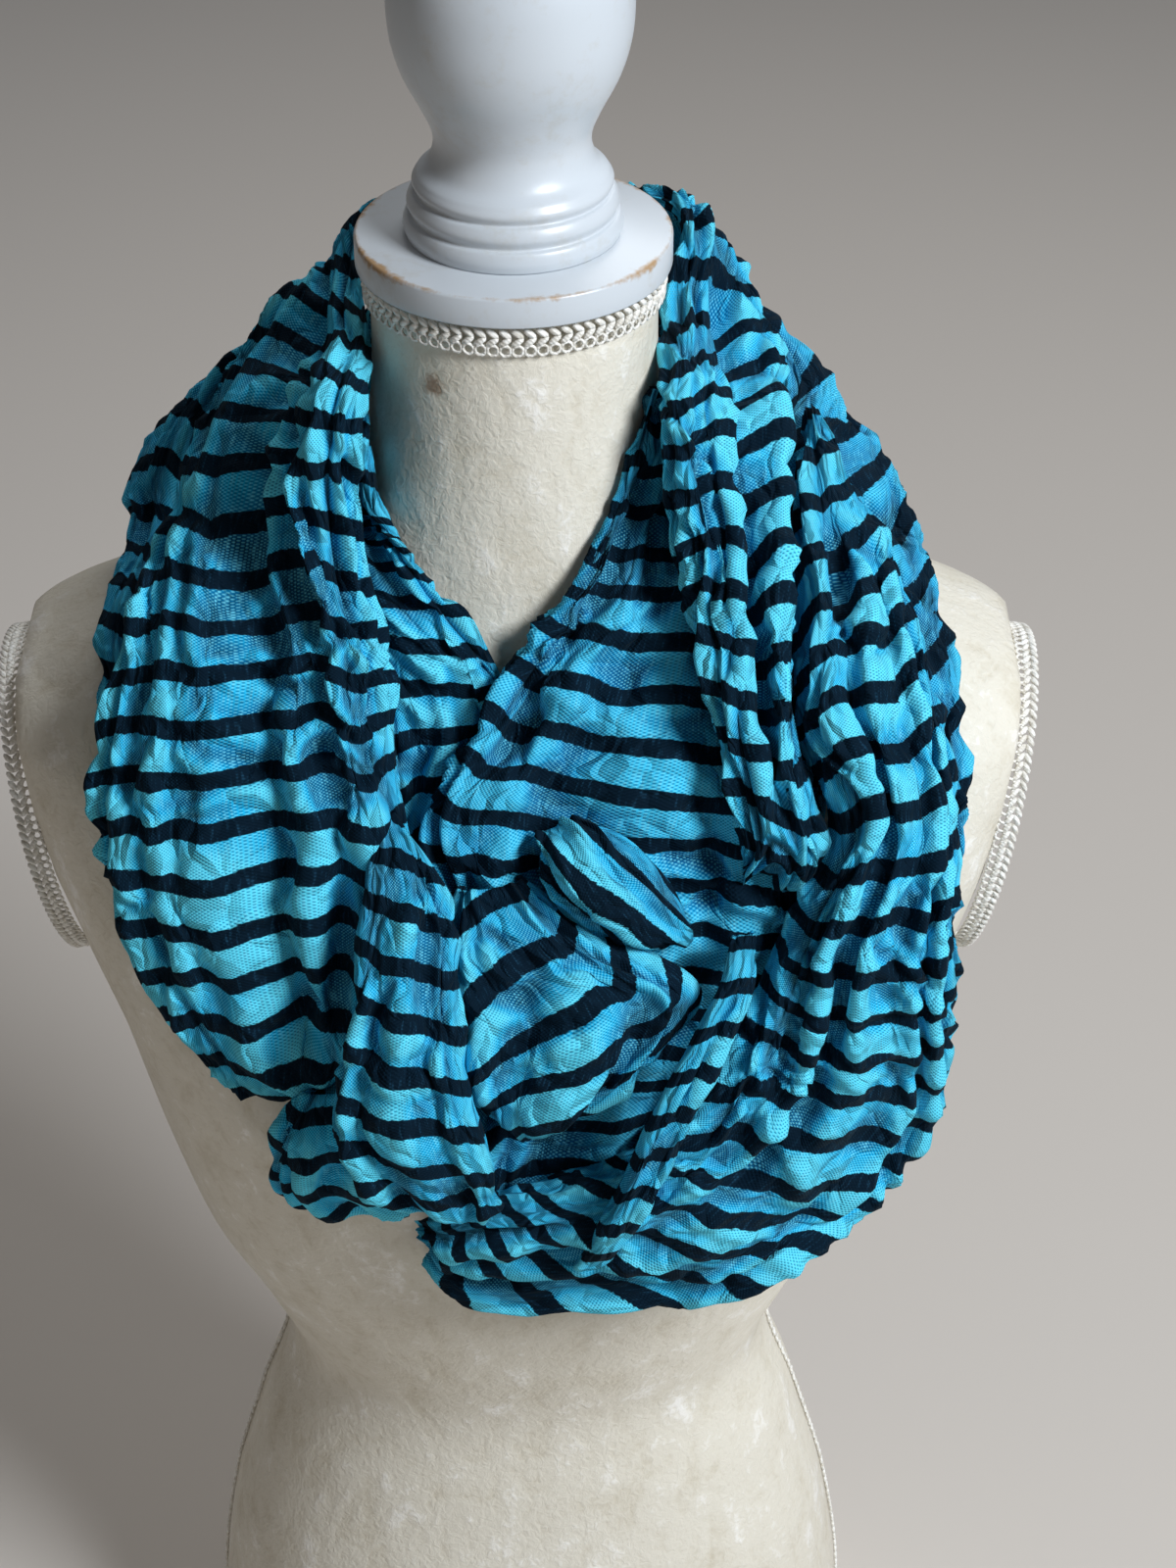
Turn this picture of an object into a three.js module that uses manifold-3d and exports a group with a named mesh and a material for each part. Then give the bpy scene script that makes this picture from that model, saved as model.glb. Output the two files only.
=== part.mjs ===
// Infinity scarf worn on a limbless dress form.
// Millimetres, +Z up. The form's front faces -Y and +X is at the right of someone who faces it.
// The origin is the middle of the form's flat underside. The scarf is one loop of crinkled
// gauze wound twice round the neck, so each stretch that shows is a wall of its own.
import * as THREE from 'three';
import { mergeVertices } from 'three/addons/utils/BufferGeometryUtils.js';
import Module from 'manifold-3d';

const wasm = await Module();
wasm.setup();

// Sizes that drive the scarf
const CLOTH_WALL = 2;        // thickness of the gathered, crinkled cloth
const TUCK = 35;             // degrees that each edge turns under
const SQUARENESS = 0.8;      // below 1 the section of a stretch is fuller at its corners
const SEAM = 0.02;           // rows left open on each side where two stretches meet
const REACH = 0.35;          // rows looked ahead and back for the direction of a stretch
const FOLD_RUN = 0.9;        // rows in which a fold fades in and out

// Sizes that drive the dress form
const TORSO_SIDES = 32;
const NECK_TOP = 688;
const GAP = 0.3;             // clearance between pieces that touch
const ARM = { x: 168, z: 440, lean: 0.173 };   // flat arm end: x at height z, and mm out per mm up
const CAP = { radius: 55, height: 11, sides: 28, edge: 0.8 };
const NECK_BRAID = { height: 11, inner: 51, outer: 54.4, drop: 1 };
const ARM_BRAID = { width: 9, height: 5, halfDepth: 49, halfHeight: 61, middle: 468, sides: 32 };
const SIDE_BRAID = { width: 7, height: 1.6, bottom: 10, top: 385 };

const COLOURS = {
  scarf: 0x3db3dc, scarfShade: 0x2a9cc6, velvet: 0xe6dcc6, paint: 0xeceef0, braid: 0xdedbd2,
};

const table = (columns, rows) => rows.map(
  (row) => Object.fromEntries(columns.map((column, i) => [column, row[i]])),
);

// Torso and neck from the underside up: a superellipse at each height
const TORSO = table(['z', 'half', 'front', 'back', 'power'], [
  [0, 136, 104, 98, 2.2], [50, 136, 106, 100, 2.2], [110, 127, 98, 90, 2.2],
  [160, 113, 86, 76, 2.2], [205, 100, 80, 68, 2.2], [245, 112, 92, 72, 2.3],
  [290, 132, 106, 80, 2.4], [340, 146, 118, 88, 2.4], [395, 158, 124, 96, 2.5],
  [440, 172, 116, 102, 2.7], [480, 185, 100, 102, 2.9], [515, 194, 84, 94, 3],
  [532, 186, 74, 84, 2.8], [548, 150, 65, 76, 2.5], [563, 106, 60, 68, 2.2],
  [580, 76, 56, 60, 2], [605, 58, 53, 55, 2], [640, 51, 51, 51, 2], [688, 50, 50, 50, 2],
]);
const TORSO_HEIGHTS = [
  0, 25, 50, 80, 110, 140, 172, 205, 232, 260, 290, 340, 395, 440, 480, 515, 532, 541, 548, 556,
  563, 571, 580, 592, 605, 622, 640, NECK_TOP,
];

// Turned finial: radius and height above the cap
const FINIAL = table(['radius', 'z'], [
  [0, 0], [37, 0], [38, 3.5], [37, 7], [35.2, 8], [36.6, 11.5], [35.2, 15], [33.4, 16],
  [34.6, 19], [33, 22], [29, 26], [27, 32], [27.6, 38], [31, 46], [37, 58], [40.5, 70],
  [41.5, 83], [40.5, 95], [36.5, 107], [29, 116.5], [17, 122.5], [0, 124.5],
]);

// A stretch of scarf is a row for each section along it: its outer edge, its inner edge and
// how far it rises between them. Folds are troughs where depth is negative and ridges where
// it is positive: the rows that they run from and to, their place across the stretch at each
// end from 0 at the outer edge to 1, their depth in mm and their half width across.
const ROW = ['ox', 'oy', 'oz', 'ix', 'iy', 'iz', 'rise'];
const FOLD = ['from', 'to', 'start', 'end', 'depth', 'half'];

// Outer loop: left front tip, over the left shoulder, down the upper back, right shoulder, right front tip
const OUTER_LOOP = table(ROW, [
  [-143.7, -65.5, 529.2, -131.9, -69.8, 527.8, 4],
  [-147.6, -47.5, 542, -137.4, -53, 541.8, 8],
  [-145.5, -20, 551.4, -135.6, -28.9, 555.6, 12],
  [-143, 34, 558.1, -129, 30, 560.5, 14],
  [-137, 60, 568, -122, 38, 586, 14],
  [-124, 78, 574, -108, 52, 604, 15],
  [-104, 90, 578, -88, 64, 620, 16],
  [-86, 91, 573, -71, 73, 622, 16],
  [-62, 89, 564, -54, 79, 620, 17],
  [-26, 86, 557, -24, 82, 617, 17],
  [26, 86, 554, 24, 82, 615, 17],
  [62, 89, 561, 54, 79, 619, 17],
  [86, 91, 571, 71, 73, 621, 16],
  [104, 86, 579, 86, 62, 620, 15],
  [122, 70, 577, 103, 46, 606, 14],
  [136, 48, 568, 92, 10, 600, 14],
  [144.6, 26, 561.5, 91, 4, 575.1, 14],
  [151.9, -19.6, 550.8, 96.1, -44.2, 561.8, 13],
  [156.3, -57.9, 532.9, 118.9, -69.2, 533.9, 11],
  [158.3, -73.3, 490.8, 139.7, -82.9, 495.7, 10],
  [156.8, -71.8, 450.2, 139.6, -89.5, 461.3, 9],
  [159, -56.2, 399.4, 139.8, -86.4, 421, 5],
]);
const OUTER_LOOP_FOLDS = table(FOLD, [
  [1.5, 6.0, 0.5, 0.55, -4, 0.07],
  [6.4, 13.2, 0.36, 0.34, -7, 0.05],
  [7.0, 12.6, 0.53, 0.55, -8, 0.05],
  [7.4, 12.0, 0.68, 0.66, -5, 0.04],
  [13.0, 17.5, 0.4, 0.55, -6, 0.07],
  [16.0, 20.5, 0.45, 0.5, -4, 0.06],
]);

// Main loop: left panel from its hem up, round the nape, and the right roll down
const MAIN_LOOP = table(ROW, [
  [-99.7, -112.1, 414.8, -70, -120.4, 416.3, 9],
  [-112.7, -104.4, 430.2, -54.4, -121.6, 437, 22],
  [-127.9, -93.7, 458.8, -48.8, -113.5, 469.6, 30],
  [-140, -81.8, 489.7, -46, -100.8, 503.4, 33],
  [-140.8, -73.8, 522.7, -43.6, -89, 535.4, 33],
  [-133.7, -55.5, 548.3, -42.3, -76.7, 564.5, 32],
  [-124.9, -24.5, 568.3, -48, -62.2, 593.7, 29],
  [-113.3, 0.3, 586.8, -50.6, -54.9, 622.5, 25],
  [-105.7, 26.3, 606.6, -49.2, -55.4, 653.6, 20],
  [-91.9, 41.8, 631.2, -53.7, -6.1, 653.8, 15],
  [-72.1, 56, 646.7, -57.6, 28, 660.5, 11],
  [-66, 76, 636, -54, 52, 672, 10],
  [-38, 86, 628, -31, 66, 668, 12],
  [0, 89, 624, 0, 71, 668, 13],
  [37, 86, 630, 31, 66, 676, 12],
  [62, 74, 644, 47, 56, 684, 10],
  [74, 56, 656, 57, 42, 682, 10],
  [83.7, 44.6, 638.6, 51.8, 22.3, 659.3, 13],
  [88.4, 28.4, 621.8, 48.8, -27, 655.1, 16],
  [86.1, -7.7, 613.3, 48.4, -51.9, 640.4, 19],
  [85.6, -35.3, 594, 52.2, -58.6, 612.5, 24],
  [92.3, -66.2, 576, 60.2, -67.5, 586.4, 24],
  [96.5, -88.1, 553.3, 67.1, -82.8, 564.3, 23],
  [103.3, -101.8, 527.2, 73.8, -96.3, 540.8, 20],
  [102.8, -107.6, 507.6, 78, -108.1, 518.7, 14],
  [92.4, -112.5, 499.2, 79.6, -112, 503.1, 6],
]);
const MAIN_LOOP_FOLDS = table(FOLD, [
  [0.6, 10.2, 0.54, 0.52, -15, 0.045],
  [1.2, 9.4, 0.645, 0.61, -9, 0.035],
  [3.0, 9.5, 0.3, 0.33, -4, 0.04],
  [1.0, 7.0, 0.42, 0.4, -4, 0.035],
  [5.2, 7.8, 0.69, 0.66, 7, 0.03],
  [10.5, 16.2, 0.4, 0.42, -6, 0.06],
  [10.8, 16, 0.62, 0.6, -5, 0.05],
  [16.2, 23.6, 0.48, 0.5, -13, 0.06],
  [18.5, 24.0, 0.32, 0.3, -4, 0.04],
  [18.0, 22.0, 0.66, 0.66, -4, 0.04],
]);

// Inner loop: lies on the chest and the neck at the left and goes round the nape
const INNER_LOOP = table(ROW, [
  [-40.4, -93, 497.8, -13.6, -90.7, 505.1, 6],
  [-44.1, -86.4, 514.5, -8.8, -81.1, 524, 8],
  [-46.7, -70.6, 541.4, -2.5, -67.8, 547.5, 9],
  [-55, -62.7, 569.6, -9.2, -63.7, 568.7, 10],
  [-66.5, -38.3, 586.8, -30.5, -59.7, 595.9, 10],
  [-86.3, 47.5, 582, -43.6, -43, 613.1, 9],
  [-73.3, 4.3, 619.6, -49.6, -23.5, 636.9, 7],
  [-63, 20, 634, -52.8, 14.2, 645.1, 5],
  [-55, 42, 632, -46.7, 33.5, 662, 5],
  [-34, 60, 634, -29, 50, 672, 5],
  [0, 66, 632, 0, 56, 674, 5],
  [34, 60, 634, 29, 50, 672, 5],
  [55, 42, 632, 46, 33, 662, 5],
  [62, 22, 634, 52, 14, 650, 5],
]);
const INNER_LOOP_FOLDS = table(FOLD, [
  [0.4, 7.6, 0.4, 0.42, -3, 0.07],
  [0.4, 6.0, 0.62, 0.6, -3, 0.06],
  [8.2, 12.6, 0.5, 0.5, -3, 0.08],
]);

// Right column, from under the shoulder folds down, turning at the bottom into the swag
const RIGHT_COLUMN = table(ROW, [
  [117.8, 24.9, 607.2, 102.2, 20.9, 615.8, 8],
  [130.8, 1.4, 588.4, 96.6, -23.3, 596.4, 16],
  [138.9, -25.3, 566.7, 94.8, -62.9, 579.3, 24],
  [145.3, -67.7, 545.5, 95.6, -87.8, 553, 30],
  [146.9, -90.1, 510.8, 106.6, -102.1, 521.5, 32],
  [150.8, -105.1, 473.1, 92.8, -114.4, 490.1, 34],
  [147.8, -78.8, 402.7, 76.1, -128.5, 461.3, 36],
  [134.1, -77.9, 366, 61.7, -133.9, 435.6, 36],
  [116.3, -87.9, 344.7, 47.4, -136.1, 416.2, 34],
  [87, -115.3, 338.7, 31.7, -137.4, 402.9, 31],
  [61.3, -114.1, 328.7, 14.4, -136.9, 394.9, 28],
  [28.7, -117.9, 327.2, -2.8, -136.5, 388.2, 25],
  [0.4, -117.5, 324.2, -18.4, -135.6, 381.9, 21],
  [-24.7, -115.9, 327.2, -29.8, -132.4, 370.3, 15],
  [-34.6, -119.9, 335.4, -37.7, -127.3, 360.4, 6],
]);
const RIGHT_COLUMN_FOLDS = table(FOLD, [
  [1.0, 8.5, 0.62, 0.6, -7, 0.04],
  [1.4, 13.0, 0.48, 0.46, -5, 0.04],
  [2.2, 12.0, 0.35, 0.38, -6, 0.04],
  [4.0, 9.5, 0.73, 0.7, -4, 0.035],
  [8.5, 14.0, 0.56, 0.58, -6, 0.045],
]);

// Stretch from the right of the neck that crosses over the inner loop
const CROSSING = table(ROW, [
  [56.7, 0, 642.3, 46.6, -26.9, 651.6, 5],
  [69.1, 16.8, 606.5, 37.4, -40.4, 629.4, 10],
  [68.4, -7.3, 590.4, 28, -49.7, 607.6, 14],
  [78.2, -32.6, 578.4, 16.7, -59.3, 587.4, 18],
  [87.8, -54.4, 555.5, -2.1, -68.1, 559.9, 19],
  [95.7, -71.6, 533.6, -16.8, -83.4, 537.3, 19],
  [97.9, -84.6, 513, -33.2, -96.1, 520, 18],
  [96.6, -93.1, 493.5, -27.8, -100.4, 496.6, 15],
  [95.2, -101.7, 469.6, -19.8, -105.6, 472.5, 11],
  [90.7, -110.7, 441.1, -13.1, -116.9, 446, 9],
  [75.6, -117.2, 419.2, -9.8, -122.5, 421.3, 8],
  [61, -121.9, 400.1, -10, -127.3, 400, 8],
  [50, -124, 380.4, -10.2, -127.5, 376, 7],
  [40.2, -122.7, 360.3, -4.7, -121.5, 351.7, 5],
]);
const CROSSING_FOLDS = table(FOLD, [
  [0.5, 5.5, 0.66, 0.7, -5, 0.045],
  [1.5, 9.0, 0.54, 0.6, -4, 0.045],
  [2.5, 8.5, 0.4, 0.46, -4, 0.04],
  [4.0, 9.5, 0.3, 0.34, -4, 0.04],
]);

// Upper lobe of the twist
const TWIST_UPPER = table(ROW, [
  [20.2, -107.2, 527.2, 10.7, -109.1, 521.1, 4],
  [37.4, -111.7, 522.7, 8.6, -114.8, 513.4, 13],
  [52.4, -115.5, 509.2, 12.1, -119.7, 503.1, 17],
  [59.8, -119.2, 494.5, 21.5, -124.4, 495, 14],
  [63, -120.8, 484.2, 38.5, -124.8, 484.7, 5],
]);
const TWIST_UPPER_FOLDS = table(FOLD, [
  [1.0, 3.6, 0.42, 0.36, -5, 0.05],
  [1.4, 3.6, 0.6, 0.62, -4, 0.05],
]);

// Lower lobe of the twist
const TWIST_LOWER = table(ROW, [
  [1.8, -113.4, 506.2, -18.8, -115.1, 503.2, 7],
  [29.8, -120, 486.8, -23.4, -120.9, 484.1, 18],
  [60, -123.1, 471.9, -22.8, -127.8, 463.5, 25],
  [60.2, -129.3, 455.9, -20.1, -134.1, 445.7, 25],
  [39.8, -135.9, 439, -14, -138.5, 430.5, 19],
  [17.6, -137.6, 424.3, -1.7, -139.1, 418.2, 9],
]);
const TWIST_LOWER_FOLDS = table(FOLD, [
  [0.6, 4.6, 0.4, 0.36, -5, 0.05],
  [1.0, 4.6, 0.56, 0.6, -5, 0.05],
]);

// Bright panel that hangs from the crossing
const CENTRE_PANEL = table(ROW, [
  [-42.1, -108.6, 529.8, -48.2, -108.5, 530.6, 5],
  [-29.7, -118.6, 516, -46.5, -118.5, 515.9, 13],
  [-20.7, -131, 499.5, -47.5, -130.5, 499.1, 18],
  [-19.3, -140.1, 480.5, -48.8, -138.9, 479.6, 20],
  [-16.9, -148, 460.5, -52.4, -143.9, 458.3, 22],
  [-13.6, -153.6, 440.5, -57, -149.3, 436.3, 22],
  [-12.5, -155.4, 417.2, -57.2, -150.5, 417, 20],
  [-11.6, -153.6, 394.1, -45.7, -151.4, 400.4, 13],
  [-11, -151, 383.4, -32, -150.4, 389.8, 5],
]);
const CENTRE_PANEL_FOLDS = table(FOLD, [
  [1.2, 7.5, 0.4, 0.36, -5, 0.05],
  [2.0, 7.5, 0.6, 0.64, -5, 0.05],
]);

// Lobe at the bottom left
const LOWER_LOBE = table(ROW, [
  [-56.5, -135, 434.1, -67.1, -134.1, 432.1, 8],
  [-43.4, -134.9, 422.2, -78.8, -132.2, 414.7, 17],
  [-31.1, -133.5, 402.5, -84.2, -124, 391.3, 22],
  [-23.4, -131.3, 386.8, -79.9, -115.3, 371, 19],
  [-27.3, -129.3, 375.7, -63.7, -120.4, 363.2, 8],
]);
const LOWER_LOBE_FOLDS = table(FOLD, [
  [0.6, 3.8, 0.36, 0.34, -5, 0.045],
  [0.8, 3.8, 0.52, 0.5, -5, 0.045],
  [1.0, 3.8, 0.64, 0.66, -4, 0.04],
]);

// Narrow doubled fold that hangs on the column and the swag
const SWAG_STRIP = table(ROW, [
  [85.2, -131.6, 493.1, 77, -132.5, 493, 4],
  [82.5, -139.7, 478.9, 71, -141, 478.2, 8],
  [75.1, -147.9, 464.7, 61.5, -150, 462.9, 9],
  [65.8, -154.6, 444.8, 51.5, -156.4, 443.6, 10],
  [56.6, -159.1, 422, 42.2, -160.9, 422.6, 10],
  [46, -159.9, 393.1, 31.3, -161.3, 394.4, 9],
  [33.5, -155.5, 364.6, 21.5, -156.2, 365.3, 5],
]);
const SWAG_STRIP_FOLDS = table(FOLD, [
  [0.8, 5.6, 0.5, 0.5, -3, 0.08],
]);
const clamp = THREE.MathUtils.clamp;

// Catmull-Rom value of one column at a place counted in rows
function spline(rows, column, place) {
  const last = rows.length - 1;
  const at = clamp(place, 0, last - 1e-9);
  const i = Math.floor(at);
  const f = at - i;
  const [p1, p2] = [rows[i][column], rows[i + 1][column]];
  const p0 = i > 0 ? rows[i - 1][column] : 2 * p1 - p2;
  const p3 = i < last - 1 ? rows[i + 2][column] : 2 * p2 - p1;
  const [a, b, c] = [p2 - p0, 2 * p0 - 5 * p1 + 4 * p2 - p3, 3 * p1 - p0 - 3 * p2 + p3];
  return 0.5 * (2 * p1 + a * f + b * f * f + c * f * f * f);
}

const outerEdge = (rows, t) => new THREE.Vector3(...['ox', 'oy', 'oz'].map((c) => spline(rows, c, t)));
const innerEdge = (rows, t) => new THREE.Vector3(...['ix', 'iy', 'iz'].map((c) => spline(rows, c, t)));
const middle = (rows, t) => outerEdge(rows, t).add(innerEdge(rows, t)).multiplyScalar(0.5);
const power = (value, exponent) => Math.sign(value) * Math.abs(value) ** exponent;

// Point of a plain stretch: t counts rows along it, v runs across from the outer edge to the inner
function plainPoint(rows, t, v) {
  const [outer, inner] = [outerEdge(rows, t), innerEdge(rows, t)];
  const across = inner.clone().sub(outer);
  const ahead = middle(rows, t + REACH).sub(middle(rows, t - REACH));
  const up = across.clone().cross(ahead).normalize();
  const tuck = THREE.MathUtils.degToRad(TUCK);
  const angle = -tuck + v * (Math.PI + 2 * tuck);
  const sunk = power(Math.sin(tuck), SQUARENESS);
  const sideways = 0.5 - 0.5 * power(Math.cos(angle), SQUARENESS);
  const lift = (power(Math.sin(angle), SQUARENESS) + sunk) / (1 + sunk);
  return outer.addScaledVector(across, sideways).addScaledVector(up, spline(rows, 'rise', t) * lift);
}

// Unit vector out of a surface given as a function of t and v
function facing(surface, last, t, v, stepT, stepV) {
  const along = surface(clamp(t + stepT, 0, last), v).sub(surface(clamp(t - stepT, 0, last), v));
  const across = surface(t, v + stepV).sub(surface(t, v - stepV));
  return across.cross(along).normalize();
}

function foldDepth(folds, t, v) {
  return folds.reduce((sum, fold) => {
    const share = clamp((t - fold.from) / (fold.to - fold.from), 0, 1);
    const run = clamp((t - fold.from) / FOLD_RUN, 0, 1) * clamp((fold.to - t) / FOLD_RUN, 0, 1);
    const place = (v - fold.start - (fold.end - fold.start) * share) / fold.half;
    return sum + fold.depth * run * run * (3 - 2 * run) * Math.exp(-place * place);
  }, 0);
}

// Outer face of a stretch with its folds
function clothSurface(rows, folds) {
  const plain = (t, v) => plainPoint(rows, t, v);
  const last = rows.length - 1;
  return (t, v) => plain(t, v).addScaledVector(facing(plain, last, t, v, 0.05, 0.01), foldDepth(folds, t, v));
}

// Closed body between two equal grids of points, the first one outside
function shell(outside, inside) {
  const [rows, columns] = [outside.length, outside[0].length];
  const points = [...outside.flat(), ...inside.flat()];
  const at = (i, j) => i * columns + j;
  const behind = rows * columns;
  const faces = [];
  const quad = (a, b, c, d) => faces.push(a, b, c, a, c, d);
  for (let i = 0; i < rows - 1; i += 1) {
    for (let j = 0; j < columns - 1; j += 1) {
      const [a, b, c, d] = [at(i, j), at(i, j + 1), at(i + 1, j + 1), at(i + 1, j)];
      quad(a, b, c, d);
      quad(a + behind, d + behind, c + behind, b + behind);
    }
  }
  const rim = [];
  for (let j = 0; j < columns; j += 1) rim.push(at(0, j));
  for (let i = 1; i < rows; i += 1) rim.push(at(i, columns - 1));
  for (let j = columns - 2; j >= 0; j -= 1) rim.push(at(rows - 1, j));
  for (let i = rows - 2; i > 0; i -= 1) rim.push(at(i, 0));
  rim.forEach((here, k) => {
    const next = rim[(k + 1) % rim.length];
    quad(here, here + behind, next + behind, next);
  });
  return geometryOf(points, faces);
}

function geometryOf(points, faces) {
  const geometry = new THREE.BufferGeometry();
  geometry.setAttribute('position', new THREE.Float32BufferAttribute(points.flatMap((p) => [p.x, p.y, p.z]), 3));
  geometry.setIndex(faces);
  return geometry;
}

const steps = (from, to, count) => Array.from({ length: count + 1 }, (_, k) => from + ((to - from) * k) / count);

// One stretch of cloth between two places along its rows
function stretch({ rows, folds, from = 0, to = rows.length - 1, across, along }) {
  const last = rows.length - 1;
  const surface = clothSurface(rows, folds);
  const [start, end] = [from > 0 ? from + SEAM : from, to < last ? to - SEAM : to];
  const [outside, inside] = [[], []];
  steps(start, end, along).forEach((t) => {
    const outer = steps(0, 1, across).map((v) => surface(t, v));
    outside.push(outer);
    inside.push(steps(0, 1, across).map((v, j) => (
      outer[j].clone().addScaledVector(facing(surface, last, t, v, 0.02, 0.004), -CLOTH_WALL)
    )));
  });
  return shell(outside, inside);
}

// Solid of stacked closed rings, flat at the bottom and the top
function stacked(rings) {
  const sides = rings[0].length;
  const points = [...rings.flat()];
  const faces = [];
  rings.slice(1).forEach((_, i) => {
    for (let j = 0; j < sides; j += 1) {
      const [a, b] = [i * sides + j, i * sides + ((j + 1) % sides)];
      faces.push(a, b, b + sides, a, b + sides, a + sides);
    }
  });
  const centre = (ring) => ring.reduce((sum, p) => sum.add(p), new THREE.Vector3()).divideScalar(sides);
  points.push(centre(rings[0]), centre(rings.at(-1)));
  const top = (rings.length - 1) * sides;
  for (let j = 0; j < sides; j += 1) {
    const next = (j + 1) % sides;
    faces.push(points.length - 2, next, j, points.length - 1, top + j, top + next);
  }
  return geometryOf(points, faces);
}

// Value of a torso column at a height
function torsoAt(z, column) {
  const i = Math.max(TORSO.findIndex((row) => row.z >= z), 1);
  const place = i - 1 + (z - TORSO[i - 1].z) / (TORSO[i].z - TORSO[i - 1].z);
  return spline(TORSO, column, place);
}

function torsoRing(z) {
  return steps(0, 2 * Math.PI, TORSO_SIDES).slice(0, -1).map((angle) => {
    const round = 2 / torsoAt(z, 'power');
    const depth = torsoAt(z, Math.sin(angle) < 0 ? 'front' : 'back');
    return new THREE.Vector3(
      torsoAt(z, 'half') * power(Math.cos(angle), round),
      depth * power(Math.sin(angle), round),
      z,
    );
  });
}

// Solid for joins and cuts, and the way back
function toSolid(geometry) {
  const plain = geometry.clone();
  plain.deleteAttribute('normal');
  plain.deleteAttribute('uv');
  const merged = mergeVertices(plain, 1e-4);
  return new wasm.Manifold(new wasm.Mesh({
    numProp: 3,
    vertProperties: new Float32Array(merged.attributes.position.array),
    triVerts: new Uint32Array(merged.index.array),
  }));
}

function fromSolid(solid) {
  const mesh = solid.getMesh();
  const geometry = new THREE.BufferGeometry();
  geometry.setAttribute('position', new THREE.BufferAttribute(new Float32Array(mesh.vertProperties), 3));
  geometry.setIndex(new THREE.BufferAttribute(new Uint32Array(mesh.triVerts), 1));
  return geometry;
}

// Frame of a flat arm end: side is -1 at the left and 1 at the right
function armFrame(side) {
  const out = new THREE.Vector3(side, 0, -ARM.lean).normalize();
  const up = new THREE.Vector3(side * ARM.lean, 0, 1).normalize();
  return { out, up, origin: new THREE.Vector3(side * ARM.x, 0, ARM.z) };
}

function torsoGeometry() {
  const size = 400;
  return fromSolid([-1, 1].reduce((solid, side) => {
    const { out, up, origin } = armFrame(side);
    const block = new THREE.BoxGeometry(size, size, size);
    block.applyMatrix4(new THREE.Matrix4().makeBasis(out, up.clone().cross(out), up));
    const centre = origin.clone().addScaledVector(out, size / 2);
    block.translate(centre.x, centre.y, centre.z);
    return solid.subtract(toSolid(block));
  }, toSolid(stacked(TORSO_HEIGHTS.map(torsoRing)))));
}

// Flat ring: a four-sided section swept round a closed loop of frames
function sweptRing(frames, corners) {
  const rings = frames.map(({ at, outward, lift }) => corners.map(
    ([a, b]) => at.clone().addScaledVector(outward, a).addScaledVector(lift, b),
  ));
  const [count, sides] = [frames.length, corners.length];
  const faces = [];
  for (let i = 0; i < count; i += 1) {
    for (let j = 0; j < sides; j += 1) {
      const [a, b] = [i * sides + j, i * sides + ((j + 1) % sides)];
      const [c, d] = [((i + 1) % count) * sides + ((j + 1) % sides), ((i + 1) % count) * sides + j];
      faces.push(a, b, c, a, c, d);
    }
  }
  return geometryOf(rings.flat(), faces);
}

// Braid round an arm end, lying on its flat face
function armBraid(side) {
  const { out, up, origin } = armFrame(side);
  const centre = origin.clone().addScaledVector(up, (ARM_BRAID.middle - ARM.z) / up.z);
  const frames = steps(0, 2 * Math.PI, ARM_BRAID.sides).slice(0, -1).map((angle) => {
    const outward = new THREE.Vector3(0, -side * Math.cos(angle), 0).addScaledVector(up, Math.sin(angle));
    const at = centre.clone().add(new THREE.Vector3(0, -side * Math.cos(angle) * ARM_BRAID.halfDepth, 0))
      .addScaledVector(up, Math.sin(angle) * ARM_BRAID.halfHeight).addScaledVector(out, GAP);
    return { at, outward, lift: out };
  });
  const [w, h] = [ARM_BRAID.width / 2, ARM_BRAID.height];
  return sweptRing(frames, [[-w, 0], [w, 0], [w * 0.7, h], [-w * 0.7, h]]);
}

function sideBraid(side) {
  const { width, height, bottom, top } = SIDE_BRAID;
  const heights = [bottom, ...TORSO_HEIGHTS.filter((z) => z > bottom + 5 && z < top - 5), top];
  return stacked(heights.map((z) => {
    const x = torsoEdge(z) + GAP;
    const corners = [[x, -width / 2], [x + height, -width / 2], [x + height, width / 2], [x, width / 2]];
    const ring = corners.map(([a, y]) => new THREE.Vector3(side * a, y, z));
    return side > 0 ? ring : ring.reverse();
  }));
}

// Half width of the torso's faceted side at a height
function torsoEdge(z) {
  const i = TORSO_HEIGHTS.findIndex((height) => height >= z);
  const [below, above] = [TORSO_HEIGHTS[Math.max(i - 1, 0)], TORSO_HEIGHTS[i]];
  const share = above > below ? (z - below) / (above - below) : 0;
  return THREE.MathUtils.lerp(torsoAt(below, 'half'), torsoAt(above, 'half'), share);
}

function turned(profile, sides) {
  const geometry = new THREE.LatheGeometry(profile.map(([r, z]) => new THREE.Vector2(r, z)), sides);
  return geometry.rotateX(Math.PI / 2);
}

function capGeometry() {
  const { radius, height, edge, sides } = CAP;
  const profile = [[0, 0], [radius, 0], [radius, height - edge], [radius - edge, height], [0, height]];
  return turned(profile, sides).translate(0, 0, NECK_TOP + GAP);
}

function neckBraidGeometry() {
  const { inner, outer, height, drop } = NECK_BRAID;
  const profile = [[inner, 0], [outer, 0], [outer, height], [inner, height], [inner, 0]];
  return turned(profile, CAP.sides).translate(0, 0, NECK_TOP - drop - height);
}

function finialGeometry() {
  return turned(FINIAL.map(({ radius, z }) => [radius, z]), CAP.sides).translate(0, 0, NECK_TOP + CAP.height + 2 * GAP);
}

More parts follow.
